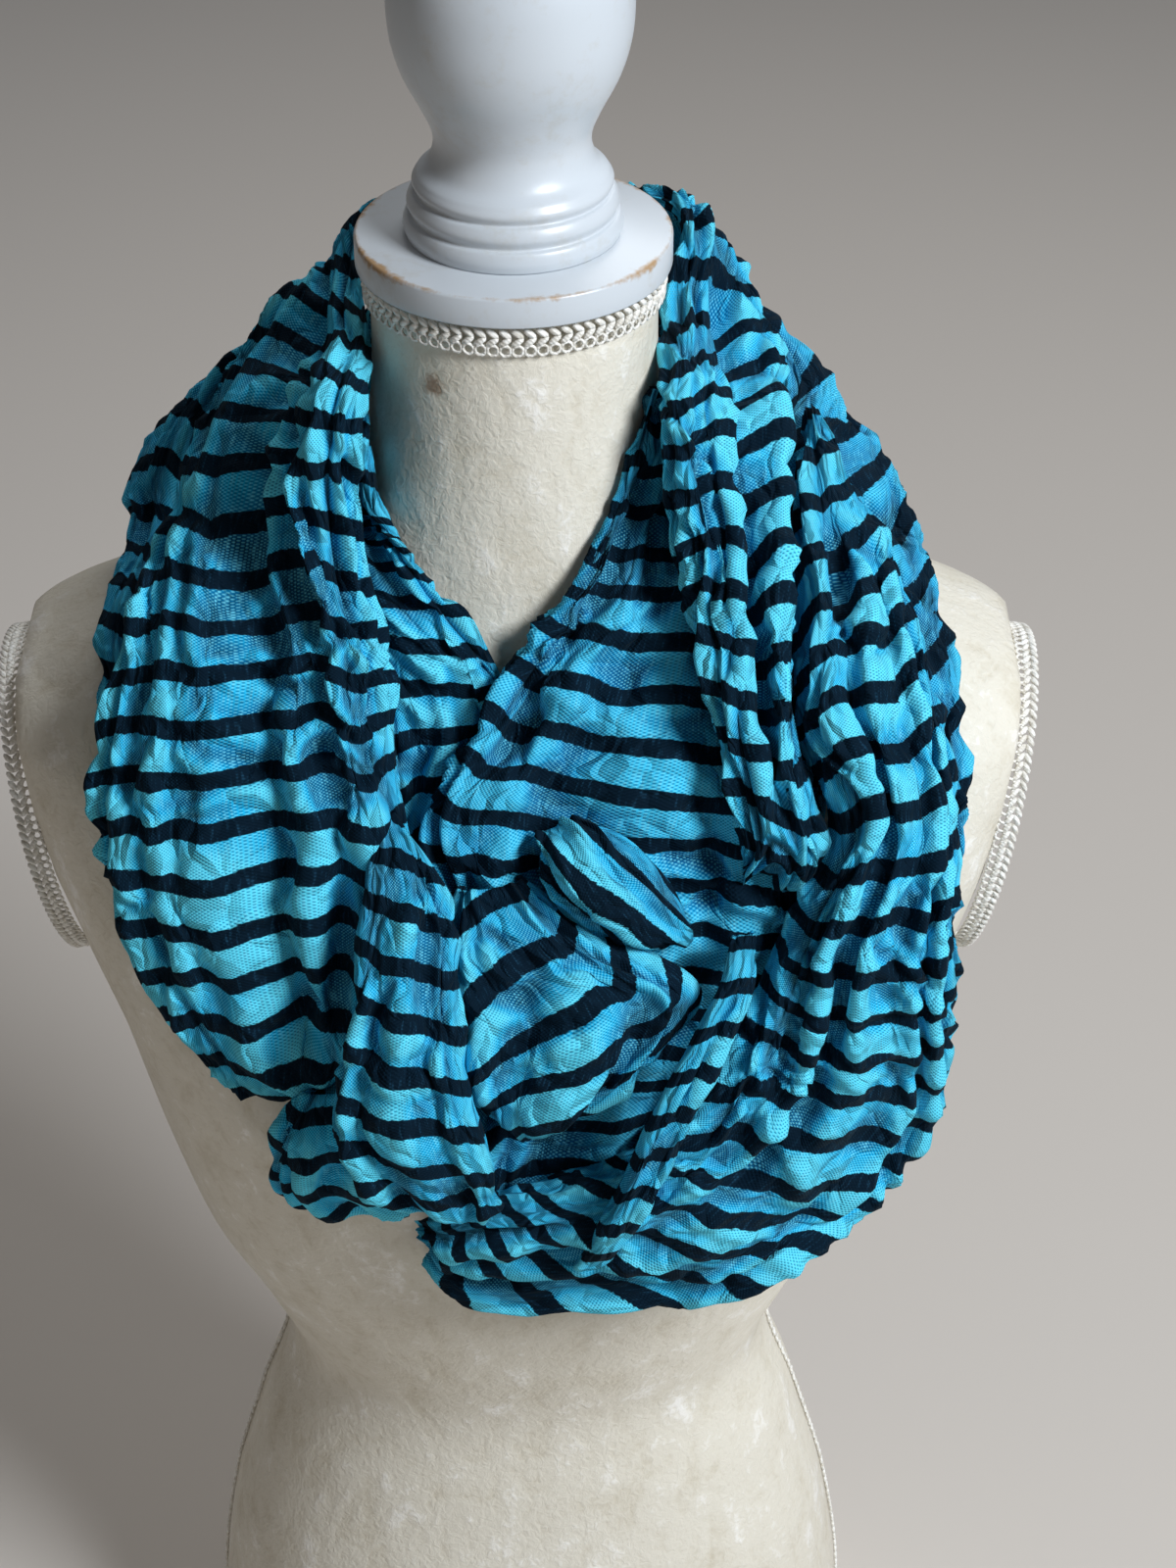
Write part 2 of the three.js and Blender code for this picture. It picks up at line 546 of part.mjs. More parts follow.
const cloth = new THREE.MeshStandardMaterial({ color: COLOURS.scarf, roughness: 0.85, metalness: 0 });
const shadedCloth = new THREE.MeshStandardMaterial({ color: COLOURS.scarfShade, roughness: 0.85, metalness: 0 });
const velvet = new THREE.MeshStandardMaterial({ color: COLOURS.velvet, roughness: 0.7, metalness: 0 });
const paint = new THREE.MeshStandardMaterial({ color: COLOURS.paint, roughness: 0.35, metalness: 0 });
const braid = new THREE.MeshStandardMaterial({ color: COLOURS.braid, roughness: 0.5, metalness: 0 });

const loop = { rows: MAIN_LOOP, folds: MAIN_LOOP_FOLDS };
const outerLoop = { rows: OUTER_LOOP, folds: OUTER_LOOP_FOLDS };
const innerLoop = { rows: INNER_LOOP, folds: INNER_LOOP_FOLDS };
const column = { rows: RIGHT_COLUMN, folds: RIGHT_COLUMN_FOLDS };

const STRETCHES = {
  inner_left: { ...innerLoop, to: 8, across: 14, along: 10 },
  back_inner: { ...innerLoop, from: 8, across: 10, along: 9 },
  inner_right: { rows: CROSSING, folds: CROSSING_FOLDS, across: 18, along: 18 },
  left_back: { ...outerLoop, to: 7.6, across: 10, along: 15 },
  back_drape: { ...outerLoop, from: 7.6, to: 12.4, across: 18, along: 10 },
  right_back: { ...outerLoop, from: 12.4, across: 10, along: 18 },
  right_panel: { ...column, to: 7, across: 20, along: 13 },
  swag: { ...column, from: 7, across: 20, along: 11 },
  left_panel: { ...loop, to: 11, across: 24, along: 16 },
  back_main: { ...loop, from: 11, to: 16, across: 12, along: 8 },
  right_roll: { ...loop, from: 16, across: 16, along: 14 },
  twist_lower: { rows: TWIST_LOWER, folds: TWIST_LOWER_FOLDS, across: 14, along: 10 },
  lower_lobe: { rows: LOWER_LOBE, folds: LOWER_LOBE_FOLDS, across: 14, along: 8 },
  centre_panel: { rows: CENTRE_PANEL, folds: CENTRE_PANEL_FOLDS, across: 12, along: 12 },
  twist_upper: { rows: TWIST_UPPER, folds: TWIST_UPPER_FOLDS, across: 12, along: 8 },
  swag_strip: { rows: SWAG_STRIP, folds: SWAG_STRIP_FOLDS, across: 8, along: 10 },
};
const SHADED = ['left_back', 'back_inner', 'back_drape', 'right_back'];

const part = new THREE.Group();

function add(name, geometry, material, group) {
  const mesh = new THREE.Mesh(geometry, material.clone());
  mesh.name = name;
  group.add(mesh);
}

const scarf = new THREE.Group();
Object.entries(STRETCHES).forEach(([name, cut]) => {
  add(name, stretch(cut), SHADED.includes(name) ? shadedCloth : cloth, scarf);
});
part.add(scarf);

const form = new THREE.Group();
add('torso', torsoGeometry(), velvet, form);
add('neck_cap', capGeometry(), paint, form);
add('finial', finialGeometry(), paint, form);
add('neck_braid', neckBraidGeometry(), braid, form);
[['left', -1], ['right', 1]].forEach(([side, sign]) => {
  add(`arm_braid_${side}`, armBraid(sign), braid, form);
  add(`side_braid_${side}`, sideBraid(sign), braid, form);
});
part.add(form);

export default part;
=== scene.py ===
"""Looks of an infinity scarf worn on a limbless dress form.

The scarf is one loop of crinkled gauze, wound twice round the neck. Each run of it that shows is
worked out from a table of sections and a table of folds, in millimetres, and every mesh is made in
metres. +Z is up, the front of the form faces -Y, and +X is at the right of someone who faces it.
"""

from __future__ import annotations

import logging
import math
from dataclasses import dataclass
from enum import Enum
from functools import partial
from typing import Callable, Iterable, Sequence

import bpy
import numpy as np
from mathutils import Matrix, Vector

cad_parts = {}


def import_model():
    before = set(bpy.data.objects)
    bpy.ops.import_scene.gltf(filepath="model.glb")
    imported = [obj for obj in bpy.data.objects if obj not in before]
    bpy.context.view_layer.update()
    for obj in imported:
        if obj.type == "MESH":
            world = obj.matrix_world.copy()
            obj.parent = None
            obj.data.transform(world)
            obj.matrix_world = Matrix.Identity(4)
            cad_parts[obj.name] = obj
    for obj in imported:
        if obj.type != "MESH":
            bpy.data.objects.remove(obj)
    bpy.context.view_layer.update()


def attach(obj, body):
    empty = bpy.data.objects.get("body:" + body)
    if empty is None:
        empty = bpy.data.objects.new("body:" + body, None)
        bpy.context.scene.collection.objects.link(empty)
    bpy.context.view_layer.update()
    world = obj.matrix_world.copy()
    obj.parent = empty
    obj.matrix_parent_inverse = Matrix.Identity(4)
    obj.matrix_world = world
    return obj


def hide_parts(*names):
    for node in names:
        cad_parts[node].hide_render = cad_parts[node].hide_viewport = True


LOG = logging.getLogger("scarf_on_form")
MM = 0.001

# Sections of each run: outer edge x y z, inner edge x y z and the rise between them.
# Folds: from row, to row, place across at the start and at the end, depth and half width.
OUTER_LOOP = (
    (-143.7, -65.5, 529.2, -131.9, -69.8, 527.8, 4),
    (-147.6, -47.5, 542, -137.4, -53, 541.8, 8),
    (-145.5, -20, 551.4, -135.6, -28.9, 555.6, 12),
    (-143, 34, 558.1, -129, 30, 560.5, 14),
    (-137, 60, 568, -122, 38, 586, 14),
    (-124, 78, 574, -108, 52, 604, 15),
    (-104, 90, 578, -88, 64, 620, 16),
    (-86, 91, 573, -71, 73, 622, 16),
    (-62, 89, 564, -54, 79, 620, 17),
    (-26, 86, 557, -24, 82, 617, 17),
    (26, 86, 554, 24, 82, 615, 17),
    (62, 89, 561, 54, 79, 619, 17),
    (86, 91, 571, 71, 73, 621, 16),
    (104, 86, 579, 86, 62, 620, 15),
    (122, 70, 577, 103, 46, 606, 14),
    (136, 48, 568, 92, 10, 600, 14),
    (144.6, 26, 561.5, 91, 4, 575.1, 14),
    (151.9, -19.6, 550.8, 96.1, -44.2, 561.8, 13),
    (156.3, -57.9, 532.9, 118.9, -69.2, 533.9, 11),
    (158.3, -73.3, 490.8, 139.7, -82.9, 495.7, 10),
    (156.8, -71.8, 450.2, 139.6, -89.5, 461.3, 9),
    (159, -56.2, 399.4, 139.8, -86.4, 421, 5),
)
OUTER_LOOP_FOLDS = (
    (1.5, 6, 0.5, 0.55, -4, 0.07),
    (6.4, 13.2, 0.36, 0.34, -7, 0.05),
    (7, 12.6, 0.53, 0.55, -8, 0.05),
    (7.4, 12, 0.68, 0.66, -5, 0.04),
    (13, 17.5, 0.4, 0.55, -6, 0.07),
    (16, 20.5, 0.45, 0.5, -4, 0.06),
)
MAIN_LOOP = (
    (-99.7, -112.1, 414.8, -70, -120.4, 416.3, 9),
    (-112.7, -104.4, 430.2, -54.4, -121.6, 437, 22),
    (-127.9, -93.7, 458.8, -48.8, -113.5, 469.6, 30),
    (-140, -81.8, 489.7, -46, -100.8, 503.4, 33),
    (-140.8, -73.8, 522.7, -43.6, -89, 535.4, 33),
    (-133.7, -55.5, 548.3, -42.3, -76.7, 564.5, 32),
    (-124.9, -24.5, 568.3, -48, -62.2, 593.7, 29),
    (-113.3, 0.3, 586.8, -50.6, -54.9, 622.5, 25),
    (-105.7, 26.3, 606.6, -49.2, -55.4, 653.6, 20),
    (-91.9, 41.8, 631.2, -53.7, -6.1, 653.8, 15),
    (-72.1, 56, 646.7, -57.6, 28, 660.5, 11),
    (-66, 76, 636, -54, 52, 672, 10),
    (-38, 86, 628, -31, 66, 668, 12),
    (0, 89, 624, 0, 71, 668, 13),
    (37, 86, 630, 31, 66, 676, 12),
    (62, 74, 644, 47, 56, 684, 10),
    (74, 56, 656, 57, 42, 682, 10),
    (83.7, 44.6, 638.6, 51.8, 22.3, 659.3, 13),
    (88.4, 28.4, 621.8, 48.8, -27, 655.1, 16),
    (86.1, -7.7, 613.3, 48.4, -51.9, 640.4, 19),
    (85.6, -35.3, 594, 52.2, -58.6, 612.5, 24),
    (92.3, -66.2, 576, 60.2, -67.5, 586.4, 24),
    (96.5, -88.1, 553.3, 67.1, -82.8, 564.3, 23),
    (103.3, -101.8, 527.2, 73.8, -96.3, 540.8, 20),
    (102.8, -107.6, 507.6, 78, -108.1, 518.7, 14),
    (92.4, -112.5, 499.2, 79.6, -112, 503.1, 6),
)
MAIN_LOOP_FOLDS = (
    (0.6, 10.2, 0.54, 0.52, -15, 0.045),
    (1.2, 9.4, 0.645, 0.61, -9, 0.035),
    (3, 9.5, 0.3, 0.33, -4, 0.04),
    (1, 7, 0.42, 0.4, -4, 0.035),
    (5.2, 7.8, 0.69, 0.66, 7, 0.03),
    (10.5, 16.2, 0.4, 0.42, -6, 0.06),
    (10.8, 16, 0.62, 0.6, -5, 0.05),
    (16.2, 23.6, 0.48, 0.5, -13, 0.06),
    (18.5, 24, 0.32, 0.3, -4, 0.04),
    (18, 22, 0.66, 0.66, -4, 0.04),
)
INNER_LOOP = (
    (-40.4, -93, 497.8, -13.6, -90.7, 505.1, 6),
    (-44.1, -86.4, 514.5, -8.8, -81.1, 524, 8),
    (-46.7, -70.6, 541.4, -2.5, -67.8, 547.5, 9),
    (-55, -62.7, 569.6, -9.2, -63.7, 568.7, 10),
    (-66.5, -38.3, 586.8, -30.5, -59.7, 595.9, 10),
    (-86.3, 47.5, 582, -43.6, -43, 613.1, 9),
    (-73.3, 4.3, 619.6, -49.6, -23.5, 636.9, 7),
    (-63, 20, 634, -52.8, 14.2, 645.1, 5),
    (-55, 42, 632, -46.7, 33.5, 662, 5),
    (-34, 60, 634, -29, 50, 672, 5),
    (0, 66, 632, 0, 56, 674, 5),
    (34, 60, 634, 29, 50, 672, 5),
    (55, 42, 632, 46, 33, 662, 5),
    (62, 22, 634, 52, 14, 650, 5),
)
INNER_LOOP_FOLDS = (
    (0.4, 7.6, 0.4, 0.42, -3, 0.07),
    (0.4, 6, 0.62, 0.6, -3, 0.06),
    (8.2, 12.6, 0.5, 0.5, -3, 0.08),
)
RIGHT_COLUMN = (
    (117.8, 24.9, 607.2, 102.2, 20.9, 615.8, 8),
    (130.8, 1.4, 588.4, 96.6, -23.3, 596.4, 16),
    (138.9, -25.3, 566.7, 94.8, -62.9, 579.3, 24),
    (145.3, -67.7, 545.5, 95.6, -87.8, 553, 30),
    (146.9, -90.1, 510.8, 106.6, -102.1, 521.5, 32),
    (150.8, -105.1, 473.1, 92.8, -114.4, 490.1, 34),
    (147.8, -78.8, 402.7, 76.1, -128.5, 461.3, 36),
    (134.1, -77.9, 366, 61.7, -133.9, 435.6, 36),
    (116.3, -87.9, 344.7, 47.4, -136.1, 416.2, 34),
    (87, -115.3, 338.7, 31.7, -137.4, 402.9, 31),
    (61.3, -114.1, 328.7, 14.4, -136.9, 394.9, 28),
    (28.7, -117.9, 327.2, -2.8, -136.5, 388.2, 25),
    (0.4, -117.5, 324.2, -18.4, -135.6, 381.9, 21),
    (-24.7, -115.9, 327.2, -29.8, -132.4, 370.3, 15),
    (-34.6, -119.9, 335.4, -37.7, -127.3, 360.4, 6),
)
RIGHT_COLUMN_FOLDS = (
    (1, 8.5, 0.62, 0.6, -7, 0.04),
    (1.4, 13, 0.48, 0.46, -5, 0.04),
    (2.2, 12, 0.35, 0.38, -6, 0.04),
    (4, 9.5, 0.73, 0.7, -4, 0.035),
    (8.5, 14, 0.56, 0.58, -6, 0.045),
)
CROSSING = (
    (56.7, 0, 642.3, 46.6, -26.9, 651.6, 5),
    (69.1, 16.8, 606.5, 37.4, -40.4, 629.4, 10),
    (68.4, -7.3, 590.4, 28, -49.7, 607.6, 14),
    (78.2, -32.6, 578.4, 16.7, -59.3, 587.4, 18),
    (87.8, -54.4, 555.5, -2.1, -68.1, 559.9, 19),
    (95.7, -71.6, 533.6, -16.8, -83.4, 537.3, 19),
    (97.9, -84.6, 513, -33.2, -96.1, 520, 18),
    (96.6, -93.1, 493.5, -27.8, -100.4, 496.6, 15),
    (95.2, -101.7, 469.6, -19.8, -105.6, 472.5, 11),
    (90.7, -110.7, 441.1, -13.1, -116.9, 446, 9),
    (75.6, -117.2, 419.2, -9.8, -122.5, 421.3, 8),
    (61, -121.9, 400.1, -10, -127.3, 400, 8),
    (50, -124, 380.4, -10.2, -127.5, 376, 7),
    (40.2, -122.7, 360.3, -4.7, -121.5, 351.7, 5),
)
CROSSING_FOLDS = (
    (0.5, 5.5, 0.66, 0.7, -5, 0.045),
    (1.5, 9, 0.54, 0.6, -4, 0.045),
    (2.5, 8.5, 0.4, 0.46, -4, 0.04),
    (4, 9.5, 0.3, 0.34, -4, 0.04),
)
TWIST_UPPER = (
    (20.2, -107.2, 527.2, 10.7, -109.1, 521.1, 4),
    (37.4, -111.7, 522.7, 8.6, -114.8, 513.4, 13),
    (52.4, -115.5, 509.2, 12.1, -119.7, 503.1, 17),
    (59.8, -119.2, 494.5, 21.5, -124.4, 495, 14),
    (63, -120.8, 484.2, 38.5, -124.8, 484.7, 5),
)
TWIST_UPPER_FOLDS = (
    (1, 3.6, 0.42, 0.36, -5, 0.05),
    (1.4, 3.6, 0.6, 0.62, -4, 0.05),
)
TWIST_LOWER = (
    (1.8, -113.4, 506.2, -18.8, -115.1, 503.2, 7),
    (29.8, -120, 486.8, -23.4, -120.9, 484.1, 18),
    (60, -123.1, 471.9, -22.8, -127.8, 463.5, 25),
    (60.2, -129.3, 455.9, -20.1, -134.1, 445.7, 25),
    (39.8, -135.9, 439, -14, -138.5, 430.5, 19),
    (17.6, -137.6, 424.3, -1.7, -139.1, 418.2, 9),
)
TWIST_LOWER_FOLDS = (
    (0.6, 4.6, 0.4, 0.36, -5, 0.05),
    (1, 4.6, 0.56, 0.6, -5, 0.05),
)
CENTRE_PANEL = (
    (-42.1, -108.6, 529.8, -48.2, -108.5, 530.6, 5),
    (-29.7, -118.6, 516, -46.5, -118.5, 515.9, 13),
    (-20.7, -131, 499.5, -47.5, -130.5, 499.1, 18),
    (-19.3, -140.1, 480.5, -48.8, -138.9, 479.6, 20),
    (-16.9, -148, 460.5, -52.4, -143.9, 458.3, 22),
    (-13.6, -153.6, 440.5, -57, -149.3, 436.3, 22),
    (-12.5, -155.4, 417.2, -57.2, -150.5, 417, 20),
    (-11.6, -153.6, 394.1, -45.7, -151.4, 400.4, 13),
    (-11, -151, 383.4, -32, -150.4, 389.8, 5),
)
CENTRE_PANEL_FOLDS = (
    (1.2, 7.5, 0.4, 0.36, -5, 0.05),
    (2, 7.5, 0.6, 0.64, -5, 0.05),
)
LOWER_LOBE = (
    (-56.5, -135, 434.1, -67.1, -134.1, 432.1, 8),
    (-43.4, -134.9, 422.2, -78.8, -132.2, 414.7, 17),
    (-31.1, -133.5, 402.5, -84.2, -124, 391.3, 22),
    (-23.4, -131.3, 386.8, -79.9, -115.3, 371, 19),
    (-27.3, -129.3, 375.7, -63.7, -120.4, 363.2, 8),
)
LOWER_LOBE_FOLDS = (
    (0.6, 3.8, 0.36, 0.34, -5, 0.045),
    (0.8, 3.8, 0.52, 0.5, -5, 0.045),
    (1, 3.8, 0.64, 0.66, -4, 0.04),
)
SWAG_STRIP = (
    (85.2, -131.6, 493.1, 77, -132.5, 493, 4),
    (82.5, -139.7, 478.9, 71, -141, 478.2, 8),
    (75.1, -147.9, 464.7, 61.5, -150, 462.9, 9),
    (65.8, -154.6, 444.8, 51.5, -156.4, 443.6, 10),
    (56.6, -159.1, 422, 42.2, -160.9, 422.6, 10),
    (46, -159.9, 393.1, 31.3, -161.3, 394.4, 9),
    (33.5, -155.5, 364.6, 21.5, -156.2, 365.3, 5),
)
SWAG_STRIP_FOLDS = (
    (0.8, 5.6, 0.5, 0.5, -3, 0.08),
)
# Torso: height, half width, front, back and the power of its rounding; finial: radius and height
TORSO = (
    (0, 136, 104, 98, 2.2), (50, 136, 106, 100, 2.2), (110, 127, 98, 90, 2.2), (160, 113, 86, 76, 2.2),
    (205, 100, 80, 68, 2.2), (245, 112, 92, 72, 2.3), (290, 132, 106, 80, 2.4), (340, 146, 118, 88, 2.4),
    (395, 158, 124, 96, 2.5), (440, 172, 116, 102, 2.7), (480, 185, 100, 102, 2.9),
    (515, 194, 84, 94, 3), (532, 186, 74, 84, 2.8), (548, 150, 65, 76, 2.5), (563, 106, 60, 68, 2.2),
    (580, 76, 56, 60, 2), (605, 58, 53, 55, 2), (640, 51, 51, 51, 2), (688, 50, 50, 50, 2),
)
FINIAL = (
    (0, 0), (37, 0), (38, 3.5), (37, 7), (35.2, 8), (36.6, 11.5), (35.2, 15), (33.4, 16), (34.6, 19),
    (33, 22), (29, 26), (27, 32), (27.6, 38), (31, 46), (37, 58), (40.5, 70), (41.5, 83), (40.5, 95),
    (36.5, 107), (29, 116.5), (17, 122.5), (0, 124.5),
)

# Main creases laid on each run, in the columns of the folds: long soft troughs and ridges
OUTER_CREASES = (
    (0.4, 7.2, 0.3, 0.36, -2.4, 0.045), (0.8, 5.2, 0.7, 0.62, 2, 0.04), (3, 8.4, 0.44, 0.4, -2, 0.03),
    (6, 14, 0.22, 0.25, -2.6, 0.035), (6.6, 13, 0.3, 0.29, 1.8, 0.03), (7, 12, 0.44, 0.46, 2.2, 0.03),
    (8.2, 13.4, 0.6, 0.62, 2, 0.03), (7, 11, 0.76, 0.79, -2.4, 0.03), (10.6, 15, 0.76, 0.7, -2.2, 0.03),
    (12.8, 17, 0.3, 0.34, -2.2, 0.04), (13.6, 19, 0.62, 0.58, 2, 0.045),
    (15.2, 21, 0.3, 0.4, -2.6, 0.05), (16.4, 20.6, 0.7, 0.62, -2, 0.05),
)
MAIN_CREASES = (
    (4.2, 8.8, 0.8, 0.79, -5, 0.014), (4.6, 7.4, 0.835, 0.85, 4.2, 0.012),
    (5.2, 8.6, 0.875, 0.86, -4.6, 0.012), (3.6, 6.2, 0.9, 0.915, 3.6, 0.012),
    (6.4, 9.4, 0.91, 0.89, 3.2, 0.014), (0.2, 5.6, 0.2, 0.24, -2.6, 0.018),
    (0.8, 7.4, 0.26, 0.27, 2.2, 0.02), (0.3, 4.2, 0.36, 0.34, -3, 0.018),
    (1.4, 8.6, 0.385, 0.38, 2.4, 0.018), (2.6, 9.6, 0.46, 0.455, -2.4, 0.016),
    (4.4, 10.6, 0.22, 0.25, -2.6, 0.022), (5, 11, 0.345, 0.36, -2.6, 0.018),
    (0.4, 6, 0.155, 0.19, 2, 0.02), (6.4, 12, 0.42, 0.44, 2, 0.02), (1, 9, 0.585, 0.57, 3.4, 0.02),
    (3.4, 7.8, 0.73, 0.7, -2.6, 0.018), (4.8, 8.4, 0.66, 0.64, -3.2, 0.014),
    (4.2, 6.8, 0.615, 0.64, 2.6, 0.013), (6.2, 9.8, 0.76, 0.72, 2.4, 0.02),
    (9.4, 16.8, 0.28, 0.3, -3, 0.03), (10, 16.4, 0.5, 0.52, 2.4, 0.03), (10.8, 17, 0.72, 0.7, -3, 0.03),
    (12, 18.4, 0.22, 0.24, 2.2, 0.03), (16, 22.4, 0.24, 0.22, -2.4, 0.03),
    (16.6, 24.4, 0.38, 0.4, 3, 0.03), (17.2, 23.8, 0.57, 0.58, 3.2, 0.03),
    (18.2, 24.6, 0.72, 0.7, -2.6, 0.03), (20, 24.6, 0.28, 0.3, 2.2, 0.025),
)
INNER_CREASES = (
    (0.2, 5.8, 0.28, 0.3, -2.2, 0.035), (0.8, 7, 0.5, 0.52, 2.2, 0.035),
    (1.6, 8.2, 0.7, 0.72, -2.2, 0.03), (3, 8.4, 0.34, 0.36, 1.8, 0.03), (5.4, 9.2, 0.58, 0.6, -2, 0.03),
    (8, 12.8, 0.32, 0.34, -2.2, 0.04), (8.8, 12.4, 0.66, 0.68, 2, 0.04),
)
COLUMN_CREASES = (
    (0.4, 6.8, 0.26, 0.27, -2.8, 0.022), (0.8, 8.4, 0.31, 0.32, 2.4, 0.022),
    (1, 9.4, 0.42, 0.41, 3, 0.02), (1.2, 7.8, 0.54, 0.55, 3, 0.022), (2, 10.6, 0.575, 0.6, -3, 0.02),
    (2.6, 11, 0.66, 0.66, 2.8, 0.022), (3.2, 8, 0.79, 0.77, -2.6, 0.02),
    (5.2, 12.4, 0.21, 0.24, -3.2, 0.022), (6, 13.2, 0.29, 0.33, 2.8, 0.024),
    (7.6, 13.6, 0.42, 0.44, -3.4, 0.024), (8, 13.8, 0.5, 0.52, 3, 0.024),
    (8.8, 13.4, 0.66, 0.64, 3, 0.028), (9.2, 13.8, 0.72, 0.7, -3.2, 0.024),
    (10.2, 13.9, 0.6, 0.59, 2.2, 0.02),
)
CROSSING_CREASES = (
    (4.8, 11, 0.17, 0.19, -13, 0.085), (5.2, 10.6, 0.33, 0.35, 4.5, 0.045),
    (3.4, 6.6, 0.72, 0.3, 3.6, 0.045), (4.2, 7.4, 0.76, 0.34, -3.2, 0.045),
    (6, 8.8, 0.78, 0.38, 4, 0.045), (6.8, 9.6, 0.8, 0.42, -3.4, 0.045),
    (0.4, 6.4, 0.6, 0.63, 2.4, 0.028), (0.8, 5, 0.76, 0.74, -2.4, 0.028),
    (1.6, 7.8, 0.48, 0.51, 2.6, 0.026), (2.2, 8.8, 0.36, 0.38, 2.4, 0.026),
    (3, 9.6, 0.25, 0.28, -2.6, 0.026), (4.6, 9.8, 0.66, 0.68, 2.4, 0.03),
    (5.6, 9.8, 0.76, 0.78, -2.6, 0.03), (6, 9.6, 0.56, 0.54, -2.6, 0.024),
)
TWIST_UPPER_CREASES = (
    (0.1, 3.9, 0.62, 0.56, 5, 0.06), (0.4, 3.9, 0.74, 0.68, -4, 0.05), (0.8, 3.8, 0.34, 0.3, -3, 0.06),
)
TWIST_LOWER_CREASES = (
    (0.4, 4.8, 0.28, 0.26, -2.8, 0.03), (0.5, 4.8, 0.48, 0.47, 3, 0.03),
    (0.8, 4.8, 0.66, 0.7, 2.6, 0.03), (1.4, 4.8, 0.76, 0.8, -2.6, 0.03),
)
CENTRE_PANEL_CREASES = (
    (0.6, 6.8, 0.3, 0.28, -2.8, 0.03), (1, 7.8, 0.5, 0.5, 3, 0.035), (2.4, 7.8, 0.7, 0.74, 2.4, 0.03),
    (3.4, 7.8, 0.34, 0.3, 2.2, 0.028),
)
LOWER_LOBE_CREASES = (
    (0.4, 3.9, 0.28, 0.28, -2.8, 0.03), (0.5, 3.9, 0.44, 0.43, 3, 0.03), (0.7, 3.9, 0.58, 0.58, 3, 0.03),
    (1, 3.9, 0.74, 0.76, -2.8, 0.03),
)
SWAG_STRIP_CREASES = (
    (0.4, 5.8, 0.34, 0.36, 1.6, 0.05), (0.6, 5.6, 0.66, 0.68, -1.8, 0.05),
)


def linear(colour: str) -> tuple[float, float, float, float]:
    """Turn an sRGB hex colour into linear RGBA.

    Args:
        colour: Six hex digits with a leading hash.

    Returns:
        Linear red, green, blue and an alpha of one.
    """
    parts = [int(colour[i : i + 2], 16) / 255 for i in (1, 3, 5)]
    red, green, blue = (c / 12.92 if c <= 0.04045 else ((c + 0.055) / 1.055) ** 2.4 for c in parts)
    return red, green, blue, 1.0


def unit(vectors: np.ndarray) -> np.ndarray:
    """Scale vectors on the last axis to length one."""
    return vectors / np.maximum(np.linalg.norm(vectors, axis=-1, keepdims=True), 1e-12)


def spline(table: np.ndarray, places: np.ndarray) -> np.ndarray:
    """Catmull-Rom values of a table's rows.

    Args:
        table: One row per section.
        places: Places counted in rows.

    Returns:
        One interpolated row per place.
    """
    last = len(table) - 1
    ends = np.vstack([2 * table[0] - table[1], table, 2 * table[-1] - table[-2]])
    at = np.clip(places, 0, last - 1e-9)
    i = np.floor(at).astype(int)
    f = (at - i)[:, None]
    p0, p1, p2, p3 = (ends[i + k] for k in range(4))
    a, b, c = p2 - p0, 2 * p0 - 5 * p1 + 4 * p2 - p3, 3 * p1 - p0 - 3 * p2 + p3
    return 0.5 * (2 * p1 + a * f + b * f**2 + c * f**3)


def lattice(seed: int, x: np.ndarray, y: np.ndarray) -> np.ndarray:
    """Repeatable values from -1 to 1 at whole-number places."""
    mixed = np.sin(x * 127.1 + y * 311.7 + seed * 74.7) * 43758.5453
    return 2 * (mixed - np.floor(mixed)) - 1


def wander(seed: int, x: np.ndarray, y: np.ndarray) -> np.ndarray:
    """Smooth noise from about -1 to 1.

    Args:
        seed: Chooses the pattern.
        x: First coordinate, in cells.
        y: Second coordinate, in cells.

    Returns:
        Noise of the same shape as x and y broadcast together.
    """
    x, y = np.broadcast_arrays(x, y)
    i, j = np.floor(x), np.floor(y)
    f, g = x - i, y - j
    f, g = f * f * f * (f * (6 * f - 15) + 10), g * g * g * (g * (6 * g - 15) + 10)
    low = lattice(seed, i, j) * (1 - f) + lattice(seed, i + 1, j) * f
    high = lattice(seed, i, j + 1) * (1 - f) + lattice(seed, i + 1, j + 1) * f
    return low * (1 - g) + high * g


def crumple(seed: int, x: np.ndarray, y: np.ndarray, turns: float) -> np.ndarray:
    """Flat facets between sharp crests and sharp creases, from -1 to 1.

    Args:
        seed: Chooses the pattern.
        x: First coordinate, in cells.
        y: Second coordinate, in cells.
        turns: How often the cloth folds back within a cell.

    Returns:
        Heights of the same shape as x and y broadcast together.
    """
    turn = turns * wander(seed, x, y) + 0.37 * seed
    return 4 * np.abs(turn - np.floor(turn + 0.5)) - 1


def make_mesh(name: str, points: np.ndarray, faces: Sequence[Sequence[int]]) -> bpy.types.Object:
    """Build an object from points in millimetres.

    Args:
        name: Name of the piece and its mesh.
        points: Points in millimetres.
        faces: Corner numbers of each face, seen from outside in anticlockwise order.

    Returns:
        A smooth-shaded object at the origin, linked to the scene.
    """
    mesh = bpy.data.meshes.new(name)
    mesh.from_pydata((np.asarray(points) * MM).tolist(), [], [list(map(int, face)) for face in faces])
    mesh.update()
    mesh.shade_smooth()
    piece = bpy.data.objects.new(name, mesh)
    bpy.context.scene.collection.objects.link(piece)
    return piece


